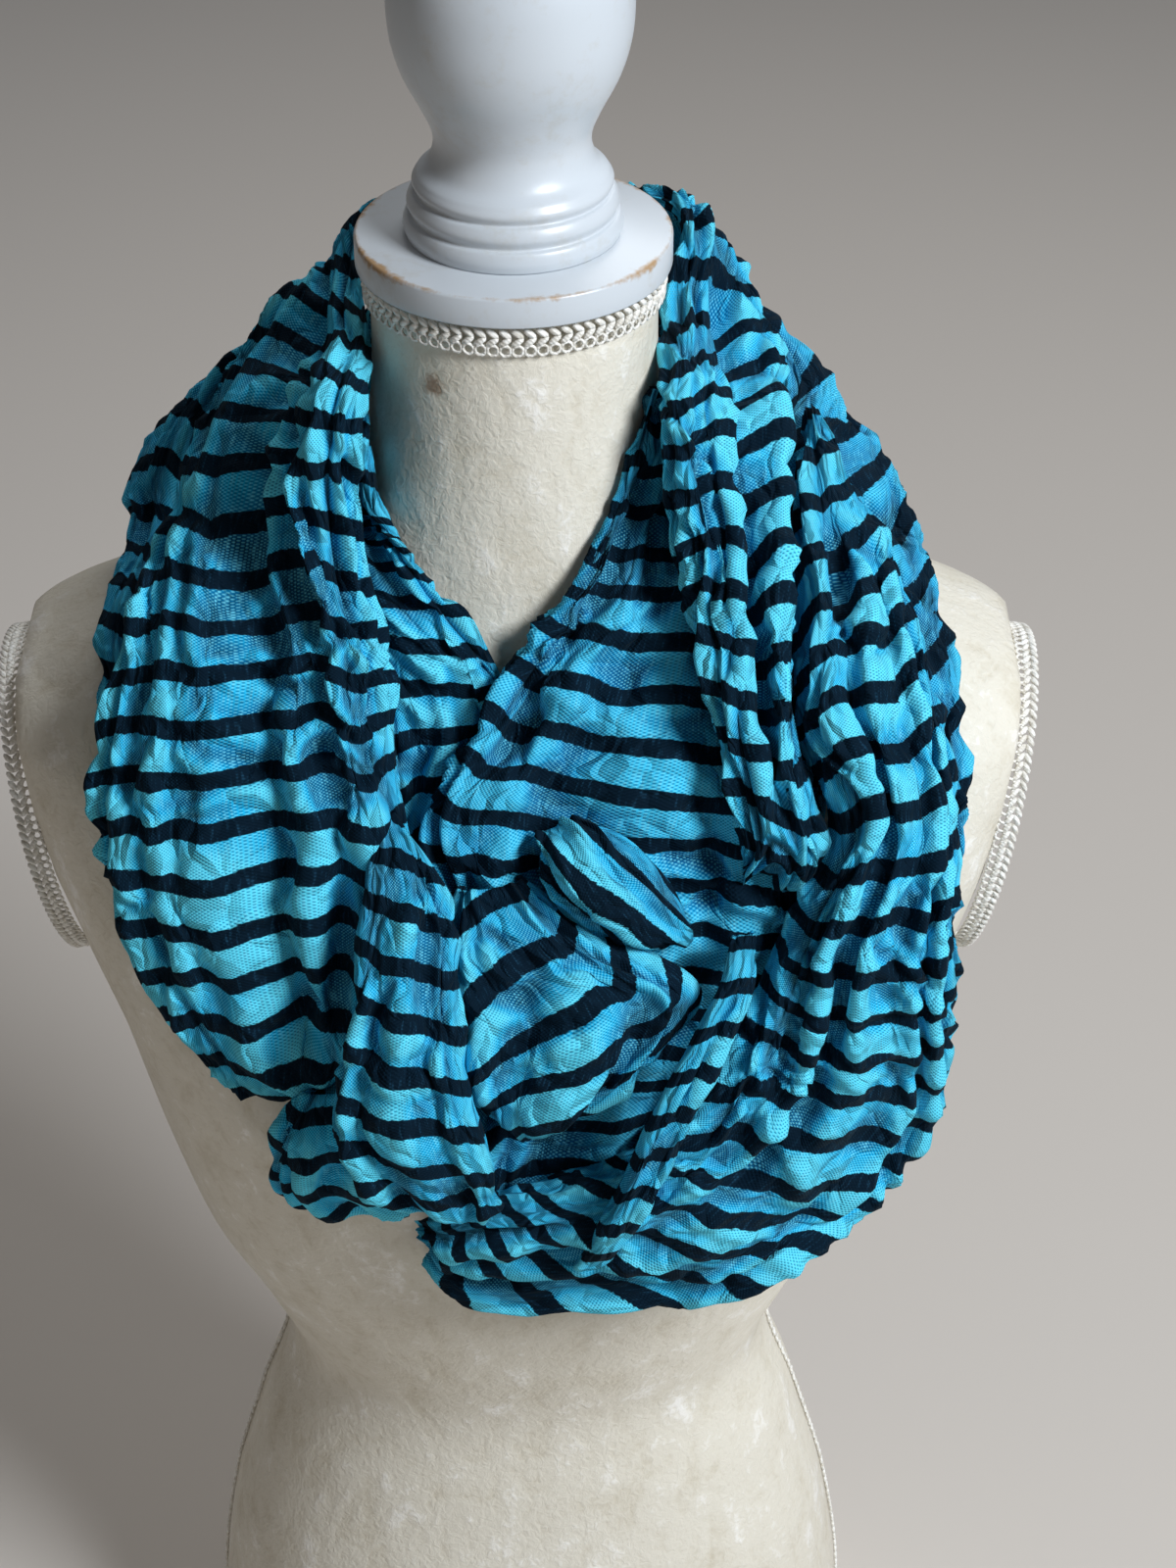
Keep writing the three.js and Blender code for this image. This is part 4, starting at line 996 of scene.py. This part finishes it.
@dataclass(frozen=True)
class CrushedVelvet:
    """Cream crushed velvet: a short rayon pile pressed every way, so that flecks of it catch the light."""

    base: str = "#e2dccd"
    # The pile colour is a painted sheen on the flecks, the pressed colour painted shade in the pressed
    # patches
    pile: str = "#f8f5ee"
    pressed_shade: str = "#cfc6b2"
    stain: str = "#7a5332"
    stain_at: tuple[float, float, float] = (-0.0275, -0.0425, 0.661)
    stain_raggedness: float = 0.007
    fleck_share: float = 0.45

    def material(self) -> bpy.types.Material:
        """Build the material on Object coordinates."""
        material, add = new_material("crushed_cream_velvet")
        place = add("ShaderNodeTexCoord").outputs["Object"]
        # Pressed patches about 14 mm round the form and 23 mm up it, with flecks of about 3 mm, painted
        # darker as shade and lighter as sheen
        laid = add("ShaderNodeMapping", {"Vector": place, "Scale": (70, 70, 44)}).outputs["Vector"]
        patch = add(
            "ShaderNodeTexNoise",
            {"Vector": laid, "Scale": 1, "Detail": 3, "Roughness": 0.6, "Distortion": 0.35},
        ).outputs["Fac"]
        fleck = add(
            "ShaderNodeTexNoise",
            {"Vector": place, "Scale": 340, "Detail": 3, "Roughness": 0.6, "Distortion": 0.8},
        ).outputs["Fac"]
        mixed = add(
            "ShaderNodeMath", {0: fleck, 1: self.fleck_share, 2: patch}, operation="MULTIPLY_ADD"
        ).outputs[0]
        # Painted shade in the pressed patches, the velvet's cream, and painted sheen on the flecks
        sheen_and_shade = ((0.40, self.pressed_shade), (0.72, self.base), (0.82, self.base), (1.0, self.pile))
        cream = add("ShaderNodeValToRGB", {"Fac": mixed}, stops=sheen_and_shade).outputs["Color"]
        # One small old stain on the neck, with a soft ragged edge
        away = add(
            "ShaderNodeVectorMath", {0: place, 1: self.stain_at}, operation="DISTANCE"
        ).outputs["Value"]
        ragged = add(
            "ShaderNodeMath", {0: fleck, 1: self.stain_raggedness, 2: away}, operation="MULTIPLY_ADD"
        ).outputs[0]
        mark = add(
            "ShaderNodeMapRange",
            {"Value": ragged, "From Min": 0.0058, "From Max": 0.0085, "To Min": 0.7, "To Max": 0.0},
        ).outputs["Result"]
        colour = add("ShaderNodeMix", {0: mark, 6: cream, 7: linear(self.stain)}, data_type="RGBA").outputs[2]
        gloss = add(
            "ShaderNodeMapRange",
            {"Value": mixed, "From Min": 0.6, "From Max": 0.95, "To Min": 0.85, "To Max": 0.38},
        ).outputs["Result"]
        lie = add("ShaderNodeBump", {"Height": mixed, "Strength": 0.5, "Distance": 0.0022}).outputs["Normal"]
        shader = add(
            "ShaderNodeBsdfPrincipled",
            {
                "Base Color": colour, "Roughness": gloss, "Normal": lie,
                "Specular IOR Level": 0.35, "Sheen Weight": 0.45, "Sheen Roughness": 0.35,
                "Sheen Tint": linear("#fff8ea"),
            },
        )
        add("ShaderNodeOutputMaterial", {"Surface": shader.outputs["BSDF"]})
        return material


@dataclass(frozen=True)
class PaintedWood:
    """Turned wood under white satin paint: brush-smooth, with ochre wood showing where rims are rubbed."""

    paint: str = "#cbd1d6"
    worn: str = "#a87f45"
    dirt: str = "#b9b3a4"
    rim_radius: float = 0.0545
    rim_height: float = 0.6992
    chip_reach: float = 0.012
    chip_start: float = 0.0032

    def material(self) -> bpy.types.Material:
        """Build the material on Object coordinates."""
        material, add = new_material("white_painted_wood")
        place = add("ShaderNodeTexCoord").outputs["Object"]
        parts = add("ShaderNodeSeparateXYZ", {"Vector": place})
        flat = add("ShaderNodeVectorMath", {0: place, 1: (1, 1, 0)}, operation="MULTIPLY").outputs["Vector"]
        radius = add("ShaderNodeVectorMath", {0: flat}, operation="LENGTH").outputs["Value"]
        out = add("ShaderNodeMath", {0: radius, 1: self.rim_radius}, operation="SUBTRACT").outputs[0]
        drop = add(
            "ShaderNodeMath", {0: parts.outputs["Z"], 1: self.rim_height}, operation="SUBTRACT"
        ).outputs[0]
        across = add("ShaderNodeCombineXYZ", {"X": out, "Y": drop}).outputs["Vector"]
        from_rim = add("ShaderNodeVectorMath", {0: across}, operation="LENGTH").outputs["Value"]
        # Chips of about 5 mm in patches of about 24 mm, and only within reach of the rim
        chips = add(
            "ShaderNodeTexNoise", {"Vector": place, "Scale": 210, "Detail": 6, "Roughness": 0.7}
        ).outputs["Fac"]
        broad = add("ShaderNodeTexNoise", {"Vector": place, "Scale": 42, "Detail": 2}).outputs["Fac"]
        chipped = add("ShaderNodeMath", {0: chips, 1: broad}, operation="MULTIPLY").outputs[0]
        reach = add(
            "ShaderNodeMath", {0: chipped, 1: self.chip_reach, 2: -self.chip_start}, operation="MULTIPLY_ADD"
        ).outputs[0]
        bare = add("ShaderNodeMath", {0: reach, 1: from_rim}, operation="SUBTRACT").outputs[0]
        worn = add(
            "ShaderNodeMapRange", {"Value": bare, "From Min": -0.0016, "From Max": 0.0004, "To Max": 0.85}
        ).outputs["Result"]
        grime = ((0.28, self.paint), (0.40, self.dirt))
        grubby = add("ShaderNodeValToRGB", {"Fac": chipped}, stops=grime).outputs["Color"]
        soft = add("ShaderNodeMix", {0: 0.25, 6: linear(self.paint), 7: grubby}, data_type="RGBA").outputs[2]
        colour = add("ShaderNodeMix", {0: worn, 6: soft, 7: linear(self.worn)}, data_type="RGBA").outputs[2]
        brushed = add(
            "ShaderNodeBump", {"Height": chips, "Strength": 0.12, "Distance": 0.0004}
        ).outputs["Normal"]
        shader = add(
            "ShaderNodeBsdfPrincipled",
            {
                "Base Color": colour, "Normal": brushed, "Roughness": 0.34, "Coat Weight": 0.15,
                "Coat Roughness": 0.2,
            },
        )
        add("ShaderNodeOutputMaterial", {"Surface": shader.outputs["BSDF"]})
        return material


@dataclass(frozen=True)
class RayonGimp:
    """Off-white rayon gimp braid: twisted cord with a silky thread across it."""

    cord: str = "#f6f4ee"
    shade: str = "#cfc9bc"

    def material(self) -> bpy.types.Material:
        """Build the material on Object coordinates."""
        material, add = new_material("rayon_gimp_braid")
        place = add("ShaderNodeTexCoord").outputs["Object"]
        mottle = add("ShaderNodeTexNoise", {"Vector": place, "Scale": 420, "Detail": 3}).outputs["Fac"]
        silk = ((0.30, self.shade), (0.62, self.cord))
        colour = add("ShaderNodeValToRGB", {"Fac": mottle}, stops=silk).outputs["Color"]
        # Thread wraps round the cord, about half a millimetre apart
        wraps = add(
            "ShaderNodeTexWave", {"Vector": place, "Scale": 320, "Distortion": 3.0},
            bands_direction="DIAGONAL",
        ).outputs["Fac"]
        twist = add(
            "ShaderNodeBump", {"Height": wraps, "Strength": 0.4, "Distance": 0.0003}
        ).outputs["Normal"]
        shader = add(
            "ShaderNodeBsdfPrincipled",
            {
                "Base Color": colour, "Normal": twist, "Roughness": 0.38, "Sheen Weight": 0.3,
                "Sheen Roughness": 0.3,
            },
        )
        add("ShaderNodeOutputMaterial", {"Surface": shader.outputs["BSDF"]})
        return material


class Side(Enum):
    """Sides of the form as seen from its front."""

    LEFT = -1
    RIGHT = 1


@dataclass
class Trim:
    """Gimp braid laid along a path: a row of small rings beside plaited leaves.

    Sizes are in millimetres. The leaf's spread is a share of its width, and its turn is in radians.
    """

    spacing: float = 4.6
    leaf_length: float = 5.0
    leaf_width: float = 2.1
    leaf_offset: float = 1.5
    leaf_spread: float = 0.62
    leaf_turn: float = 0.62
    ring_radius: float = 1.9
    ring_wire: float = 0.62
    ring_offset: float = -3.2
    rings: bool = True

    def lengths(self) -> dict[str, float]:
        """Sizes of the braid in metres, by the names of the tree's inputs."""
        return {
            "Spacing": self.spacing * MM, "Leaf length": self.leaf_length * MM,
            "Leaf width": self.leaf_width * MM, "Leaf offset": self.leaf_offset * MM,
            "Ring radius": self.ring_radius * MM, "Ring wire": self.ring_wire * MM,
            "Ring offset": self.ring_offset * MM,
        }

    def tree(self) -> bpy.types.NodeTree:
        """Build the node tree that lays rings and leaves along a path with an outward attribute."""
        tree = bpy.data.node_groups.new("gimp_braid", "GeometryNodeTree")
        face = tree.interface
        face.new_socket("Geometry", in_out="INPUT", socket_type="NodeSocketGeometry")
        for label in self.lengths():
            face.new_socket(label, in_out="INPUT", socket_type="NodeSocketFloat")
        face.new_socket("Rings", in_out="INPUT", socket_type="NodeSocketBool")
        face.new_socket("Material", in_out="INPUT", socket_type="NodeSocketMaterial")
        face.new_socket("Geometry", in_out="OUTPUT", socket_type="NodeSocketGeometry")

        add = partial(add_node, tree)
        given = add("NodeGroupInput").outputs
        path = add("GeometryNodeMeshToCurve", {"Mesh": given["Geometry"]}).outputs["Curve"]
        outward = add(
            "GeometryNodeInputNamedAttribute", {"Name": "outward"}, data_type="FLOAT_VECTOR"
        ).outputs[0]
        tangent = add("GeometryNodeInputTangent").outputs[0]
        kept = add("GeometryNodeCaptureAttribute")
        kept.capture_items.new("VECTOR", "outward")
        kept.capture_items.new("VECTOR", "tangent")
        tree.links.new(path, kept.inputs["Geometry"])
        tree.links.new(outward, kept.inputs["outward"])
        tree.links.new(tangent, kept.inputs["tangent"])
        along = add(
            "GeometryNodeResampleCurve", {"Curve": kept.outputs["Geometry"], "Length": given["Spacing"]},
            mode="LENGTH",
        ).outputs["Curve"]
        points = add("GeometryNodeCurveToPoints", {"Curve": along}, mode="EVALUATED").outputs["Points"]
        upright = add(
            "FunctionNodeAlignRotationToVector", {"Vector": kept.outputs["outward"]}, axis="Z"
        ).outputs[0]
        turned = add(
            "FunctionNodeAlignRotationToVector", {"Rotation": upright, "Vector": kept.outputs["tangent"]},
            axis="X", pivot_axis="Z",
        ).outputs[0]
        # Few sides, because each ring and leaf is repeated hundreds of times
        wire, loop = (
            add(
                "GeometryNodeCurvePrimitiveCircle", {"Resolution": sides, "Radius": given[label]},
                mode="RADIUS",
            ).outputs["Curve"]
            for sides, label in ((5, "Ring wire"), (10, "Ring radius"))
        )
        ring = add("GeometryNodeCurveToMesh", {"Curve": loop, "Profile Curve": wire}).outputs["Mesh"]
        ring_place = add(
            "ShaderNodeCombineXYZ", {"Y": given["Ring offset"], "Z": given["Ring wire"]}
        ).outputs[0]
        placed_ring = add(
            "GeometryNodeTransform", {"Geometry": ring, "Translation": ring_place}
        ).outputs["Geometry"]
        ring_if_any = add(
            "GeometryNodeSwitch", {"Switch": given["Rings"], "True": placed_ring}, input_type="GEOMETRY"
        ).outputs[0]
        ball = add("GeometryNodeMeshUVSphere", {"Segments": 8, "Rings": 5, "Radius": 0.5}).outputs["Mesh"]
        size = add(
            "ShaderNodeCombineXYZ",
            {"X": given["Leaf length"], "Y": given["Leaf width"], "Z": given["Leaf width"]},
        ).outputs[0]
        pieces = [ring_if_any]
        for sign in (-1, 1):
            shift = add(
                "ShaderNodeMath", {0: given["Leaf width"], 1: self.leaf_spread * sign}, operation="MULTIPLY"
            ).outputs[0]
            side = add("ShaderNodeMath", {0: given["Leaf offset"], 1: shift}, operation="ADD").outputs[0]
            centre = add("ShaderNodeCombineXYZ", {"Y": side, "Z": given["Ring wire"]}).outputs[0]
            turn = (0, 0, -self.leaf_turn * sign)
            leaf = add(
                "GeometryNodeTransform",
                {"Geometry": ball, "Translation": centre, "Rotation": turn, "Scale": size},
            ).outputs["Geometry"]
            pieces.append(leaf)
        stitch = add("GeometryNodeJoinGeometry")
        for geometry in pieces:
            tree.links.new(geometry, stitch.inputs["Geometry"])
        laid = add(
            "GeometryNodeInstanceOnPoints",
            {"Points": points, "Instance": stitch.outputs["Geometry"], "Rotation": turned},
        ).outputs["Instances"]
        real = add("GeometryNodeRealizeInstances", {"Geometry": laid}).outputs["Geometry"]
        smooth = add("GeometryNodeSetShadeSmooth", {"Geometry": real}).outputs["Geometry"]
        dressed = add("GeometryNodeSetMaterial", {"Geometry": smooth, "Material": given["Material"]})
        result = add("NodeGroupOutput")
        tree.links.new(dressed.outputs["Geometry"], result.inputs["Geometry"])
        return tree

    def lay(
        self, name: str, path: np.ndarray, outward: np.ndarray, closed: bool, material: bpy.types.Material
    ) -> bpy.types.Object:
        """Lay the braid along a path and return it as a plain mesh.

        Args:
            name: Name of the piece.
            path: Points in millimetres.
            outward: Unit vector away from the form at each point.
            closed: Whether the last point joins the first.
            material: Finish of the braid.

        Returns:
            The braid as a mesh object at the origin.
        """
        mesh = bpy.data.meshes.new(name + "_path")
        count = len(path)
        edges = [(i, (i + 1) % count) for i in range(count if closed else count - 1)]
        mesh.from_pydata((path * MM).tolist(), edges, [])
        facing = mesh.attributes.new("outward", "FLOAT_VECTOR", "POINT")
        facing.data.foreach_set("vector", outward.astype(np.float32).ravel())
        guide = bpy.data.objects.new(name + "_path", mesh)
        bpy.context.scene.collection.objects.link(guide)
        modifier = guide.modifiers.new("braid", "NODES")
        modifier.node_group = self.tree()
        values = self.lengths() | {"Rings": self.rings, "Material": material}
        for item in modifier.node_group.interface.items_tree:
            if item.in_out == "INPUT" and item.name in values:
                modifier[item.identifier] = values[item.name]
        graph = bpy.context.evaluated_depsgraph_get()
        braid = bpy.data.meshes.new_from_object(guide.evaluated_get(graph))
        bpy.data.objects.remove(guide)
        piece = bpy.data.objects.new(name, braid)
        bpy.context.scene.collection.objects.link(piece)
        return piece


@dataclass
class DressForm:
    """Limbless dress form: velvet torso with flat arm ends, painted cap and finial, gimp trim."""

    torso_rows: tuple[tuple[float, ...], ...] = TORSO
    sides: int = 160
    layers: int = 220
    arm_x: float = 168.0
    arm_z: float = 440.0
    arm_lean: float = 0.173
    arm_middle: float = 468.0
    arm_half_depth: float = 49.0
    arm_half_height: float = 61.0
    neck_top: float = 688.0
    cap_radius: float = 55.0
    cap_height: float = 11.0
    finial_rows: tuple[tuple[float, float], ...] = FINIAL
    lathe_sides: int = 96
    gap: float = 0.3
    uncut_below: float = 250.0
    bead_rows: int = 8
    neck_braid_radius: float = 51.6
    neck_braid_height: float = 682.0
    arm_braid_out: float = 3.6
    arm_braid_proud: float = 3.9
    seam_heights: tuple[float, float] = (12.0, 383.0)
    seam_proud: float = 0.5

    def torso_at(self, heights: np.ndarray) -> np.ndarray:
        """Half width, front, back and power of the torso at some heights."""
        rows = np.array(self.torso_rows, float)
        return spline(rows, np.interp(heights, rows[:, 0], np.arange(len(rows))))[:, 1:]

    def torso_ring(self, heights: np.ndarray, angles: np.ndarray) -> np.ndarray:
        """Points of the torso's skin.

        Args:
            heights: Heights in millimetres.
            angles: Angles round the torso in radians, anticlockwise from +X.

        Returns:
            Grid of points, cut flat at the arm ends.
        """
        half, front, back, power = (column[:, None] for column in self.torso_at(heights).T)
        c, s = np.cos(angles)[None], np.sin(angles)[None]
        x = half * np.sign(c) * np.abs(c) ** (2 / power)
        y = np.where(s < 0, front, back) * np.sign(s) * np.abs(s) ** (2 / power)
        cut = self.arm_x + self.arm_lean * (heights[:, None] - self.arm_z)
        limit = np.where(heights[:, None] < self.uncut_below, np.inf, cut)
        return np.stack(np.broadcast_arrays(np.clip(x, -limit, limit), y, heights[:, None]), axis=-1)

    def stacked(self, name: str, rings: np.ndarray) -> bpy.types.Object:
        """Close a stack of rings at its bottom and top and make it a piece."""
        layers, sides = rings.shape[:2]
        index = np.arange(layers * sides).reshape(layers, sides)
        beside = np.roll(index, -1, 1)
        faces = np.stack([index[:-1], beside[:-1], beside[1:], index[1:]], axis=-1).reshape(-1, 4).tolist()
        low, high = layers * sides, layers * sides + 1
        for j in range(sides):
            k = (j + 1) % sides
            faces += [[low, int(index[0, k]), int(index[0, j])], [high, int(index[-1, j]), int(index[-1, k])]]
        points = np.vstack([rings.reshape(-1, 3), rings[0].mean(0), rings[-1].mean(0)])
        return make_mesh(name, points, faces)

    def torso(self, velvet: bpy.types.Material) -> None:
        """Build the torso and the neck as one skin."""
        skin = np.linspace(3.5, self.neck_top - 1, self.layers)
        heights = np.concatenate([[0, 0.6, 1.6], skin, [self.neck_top]])
        turn = np.linspace(0, 2 * math.pi, self.sides, endpoint=False)
        rings = self.torso_ring(heights, turn)
        # The bottom edge is rolled under by a millimetre or two
        half_width = 130
        for layer, inset in ((0, 1.8), (1, 0.7), (2, 0.2)):
            rings[layer, :, :2] *= 1 - inset / half_width
        place_piece(self.stacked("velvet_torso", rings), velvet, ["torso"])

    def turned(self, name: str, profile: np.ndarray, base: float) -> bpy.types.Object:
        """Turn a profile of radius and height about the form's axis."""
        angles = np.linspace(0, 2 * math.pi, self.lathe_sides, endpoint=False)
        ring = np.stack([np.cos(angles), np.sin(angles)], axis=-1)
        rings = [np.column_stack([ring * radius, np.full(len(ring), base + z)]) for radius, z in profile]
        return self.stacked(name, np.stack(rings))

    def cap(self, paint: bpy.types.Material) -> None:
        """Build the flat cap on the neck with softened rims."""
        r, h = self.cap_radius, self.cap_height
        lower = [(r - 0.6, 0), (r - 0.15, 0.2), (r, 0.7)]
        upper = [(r, h - 1.2), (r - 0.3, h - 0.45), (r - 1, h)]
        piece = self.turned("painted_cap", np.array(lower + upper), self.neck_top + self.gap)
        place_piece(piece, paint, ["neck_cap"])

    def finial(self, paint: bpy.types.Material) -> None:
        """Build the turned finial, its beads crisp and its ball smooth."""
        rows = np.array(self.finial_rows[1:-1], float)
        beads, ball = rows[: self.bead_rows + 1], rows[self.bead_rows :]
        fine = spline(ball, np.linspace(0, len(ball) - 1, 70))
        crisp = spline(beads, np.linspace(0, len(beads) - 1, 49))
        crown = [(8.5, 124.0), (2.0, 124.5)]
        profile = np.vstack([crisp[:-1], fine, crown])
        base = self.neck_top + self.cap_height + 2 * self.gap
        place_piece(self.turned("painted_finial", profile, base), paint, ["finial"])

    def neck_trim(self, gimp: bpy.types.Material) -> None:
        """Lay the gimp round the neck under the cap, rings downwards."""
        turn = np.linspace(0, 2 * math.pi, 180, endpoint=False)
        outward = np.column_stack([np.cos(turn), np.sin(turn), 0 * turn])
        path = outward * self.neck_braid_radius + [0, 0, self.neck_braid_height]
        braid = Trim(spacing=4.2, leaf_length=5.6, leaf_width=2.4, ring_offset=-3.1, leaf_offset=1.7)
        piece = braid.lay("gimp_neck", path, outward, True, gimp)
        place_piece(piece, gimp, ["neck_braid"])

    def arm_trim(self, side: Side, gimp: bpy.types.Material) -> None:
        """Lay the gimp round one flat arm end."""
        sign = side.value
        out = np.array([sign, 0, -self.arm_lean]) / math.hypot(1, self.arm_lean)
        up = np.array([sign * self.arm_lean, 0, 1]) / math.hypot(1, self.arm_lean)
        centre = np.array([sign * self.arm_x, 0, self.arm_z]) + up * (self.arm_middle - self.arm_z) / up[2]
        turn = np.linspace(0, 2 * math.pi, 160, endpoint=False)
        ring = np.array([0, -sign, 0]) * np.cos(turn)[:, None] * self.arm_half_depth
        ring = ring + up * np.sin(turn)[:, None] * self.arm_half_height
        # The gimp stands round the rim, so that it shows as a pale edge from the front
        outward = unit(ring)
        path = centre + ring + outward * self.arm_braid_out + out * self.arm_braid_proud
        braid = Trim(
            spacing=3.3, leaf_length=5.2, leaf_width=2.3, leaf_offset=-1.2, ring_offset=2.3, ring_radius=1.7
        )
        name = side.name.lower()
        piece = braid.lay(f"gimp_arm_{name}", path, outward, True, gimp)
        place_piece(piece, gimp, [f"arm_braid_{name}"])

    def side_trim(self, side: Side, gimp: bpy.types.Material) -> None:
        """Lay the gimp down one side seam."""
        heights = np.linspace(*self.seam_heights, 120)
        reach = side.value * (self.torso_at(heights)[:, 0] + self.seam_proud)
        path = np.column_stack([reach, 0 * heights, heights])
        along = unit(np.gradient(path, axis=0))
        outward = unit(np.cross(along, np.array([0, side.value, 0])) * -1)
        outward *= np.sign(outward[:, :1] * side.value)
        braid = Trim(
            spacing=4.0, leaf_length=4.4, leaf_width=1.5, leaf_offset=0.0, ring_wire=0.4, rings=False
        )
        name = side.name.lower()
        piece = braid.lay(f"gimp_side_{name}", path, outward, False, gimp)
        place_piece(piece, gimp, [f"side_braid_{name}"])

    def build(self) -> None:
        """Build the form from the torso up."""
        velvet, paint, gimp = CrushedVelvet().material(), PaintedWood().material(), RayonGimp().material()
        self.torso(velvet)
        self.cap(paint)
        self.finial(paint)
        self.neck_trim(gimp)
        for side in Side:
            self.arm_trim(side, gimp)
            self.side_trim(side, gimp)


@dataclass(frozen=True)
class Lamp:
    """Soft square light: place, height on the form's axis that it points at, width in metres, and watts."""

    name: str
    place: tuple[float, float, float]
    aim_height: float
    size: float
    power: float
    colour: str


@dataclass
class Studio:
    """Pale floor, soft lights and the camera at the picture's angle."""

    camera_place: tuple[float, float, float] = (0.0256, -1.0806, 1.2077)
    camera_tilt: float = 55.6
    lens: float = 78.75
    floor_colour: str = "#cfc8c0"
    lamps: tuple[Lamp, ...] = (
        Lamp("window_right", (1.5, -1.25, 1.95), aim_height=0.5, size=0.75, power=67, colour="#f2f8ff"),
        Lamp("fill_left", (-1.7, -1.3, 1.2), aim_height=0.5, size=1.6, power=2.5, colour="#ffe9cf"),
        Lamp("back_top", (0.3, 1.2, 1.9), aim_height=0.6, size=1.2, power=12, colour="#ffffff"),
    )
    sky_colour: str = "#dfe3ea"
    sky_strength: float = 0.10

    def floor(self) -> None:
        """Lay a pale floor under the form."""
        size = 6000.0
        outline = np.array([(-size, -size, 0), (size, -size, 0), (size, size, 0), (-size, size, 0)])
        floor = make_mesh("floor", outline, [[0, 1, 2, 3]])
        material, add = new_material("pale_floor")
        shader = add("ShaderNodeBsdfPrincipled", {"Base Color": linear(self.floor_colour), "Roughness": 0.9})
        add("ShaderNodeOutputMaterial", {"Surface": shader.outputs["BSDF"]})
        floor.data.materials.append(material)

    @staticmethod
    def hang(lamp_plan: Lamp) -> None:
        """Hang a soft square light."""
        data = bpy.data.lights.new(lamp_plan.name, "AREA")
        data.size, data.energy = lamp_plan.size, lamp_plan.power
        data.color = linear(lamp_plan.colour)[:3]
        lamp = bpy.data.objects.new(lamp_plan.name, data)
        lamp.location = lamp_plan.place
        direction = Vector((0.0, 0.0, lamp_plan.aim_height)) - Vector(lamp_plan.place)
        lamp.rotation_euler = direction.to_track_quat("-Z", "Y").to_euler()
        bpy.context.scene.collection.objects.link(lamp)

    def build(self) -> None:
        """Set the camera, the floor, the lights and a dim even sky."""
        data = bpy.data.cameras.new("camera")
        data.lens, data.sensor_width = self.lens, 36.0
        data.clip_start, data.clip_end = 0.05, 50
        camera = bpy.data.objects.new("camera", data)
        camera.location = self.camera_place
        camera.rotation_euler = (math.radians(self.camera_tilt), 0, 0)
        bpy.context.scene.collection.objects.link(camera)
        bpy.context.scene.camera = camera
        self.floor()
        for lamp_plan in self.lamps:
            self.hang(lamp_plan)
        bpy.context.scene.view_settings.view_transform = "Standard"
        world = bpy.data.worlds.new("soft_sky")
        world.use_nodes = True
        background = world.node_tree.nodes["Background"]
        background.inputs["Color"].default_value = linear(self.sky_colour)
        background.inputs["Strength"].default_value = self.sky_strength
        bpy.context.scene.world = world


def main() -> None:
    """Load the frame and build the studio, the form and the scarf round it."""
    logging.basicConfig(level=logging.INFO, format="%(message)s")
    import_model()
    Studio().build()
    DressForm().build()
    Scarf().build()


if __name__ == "__main__":
    main()
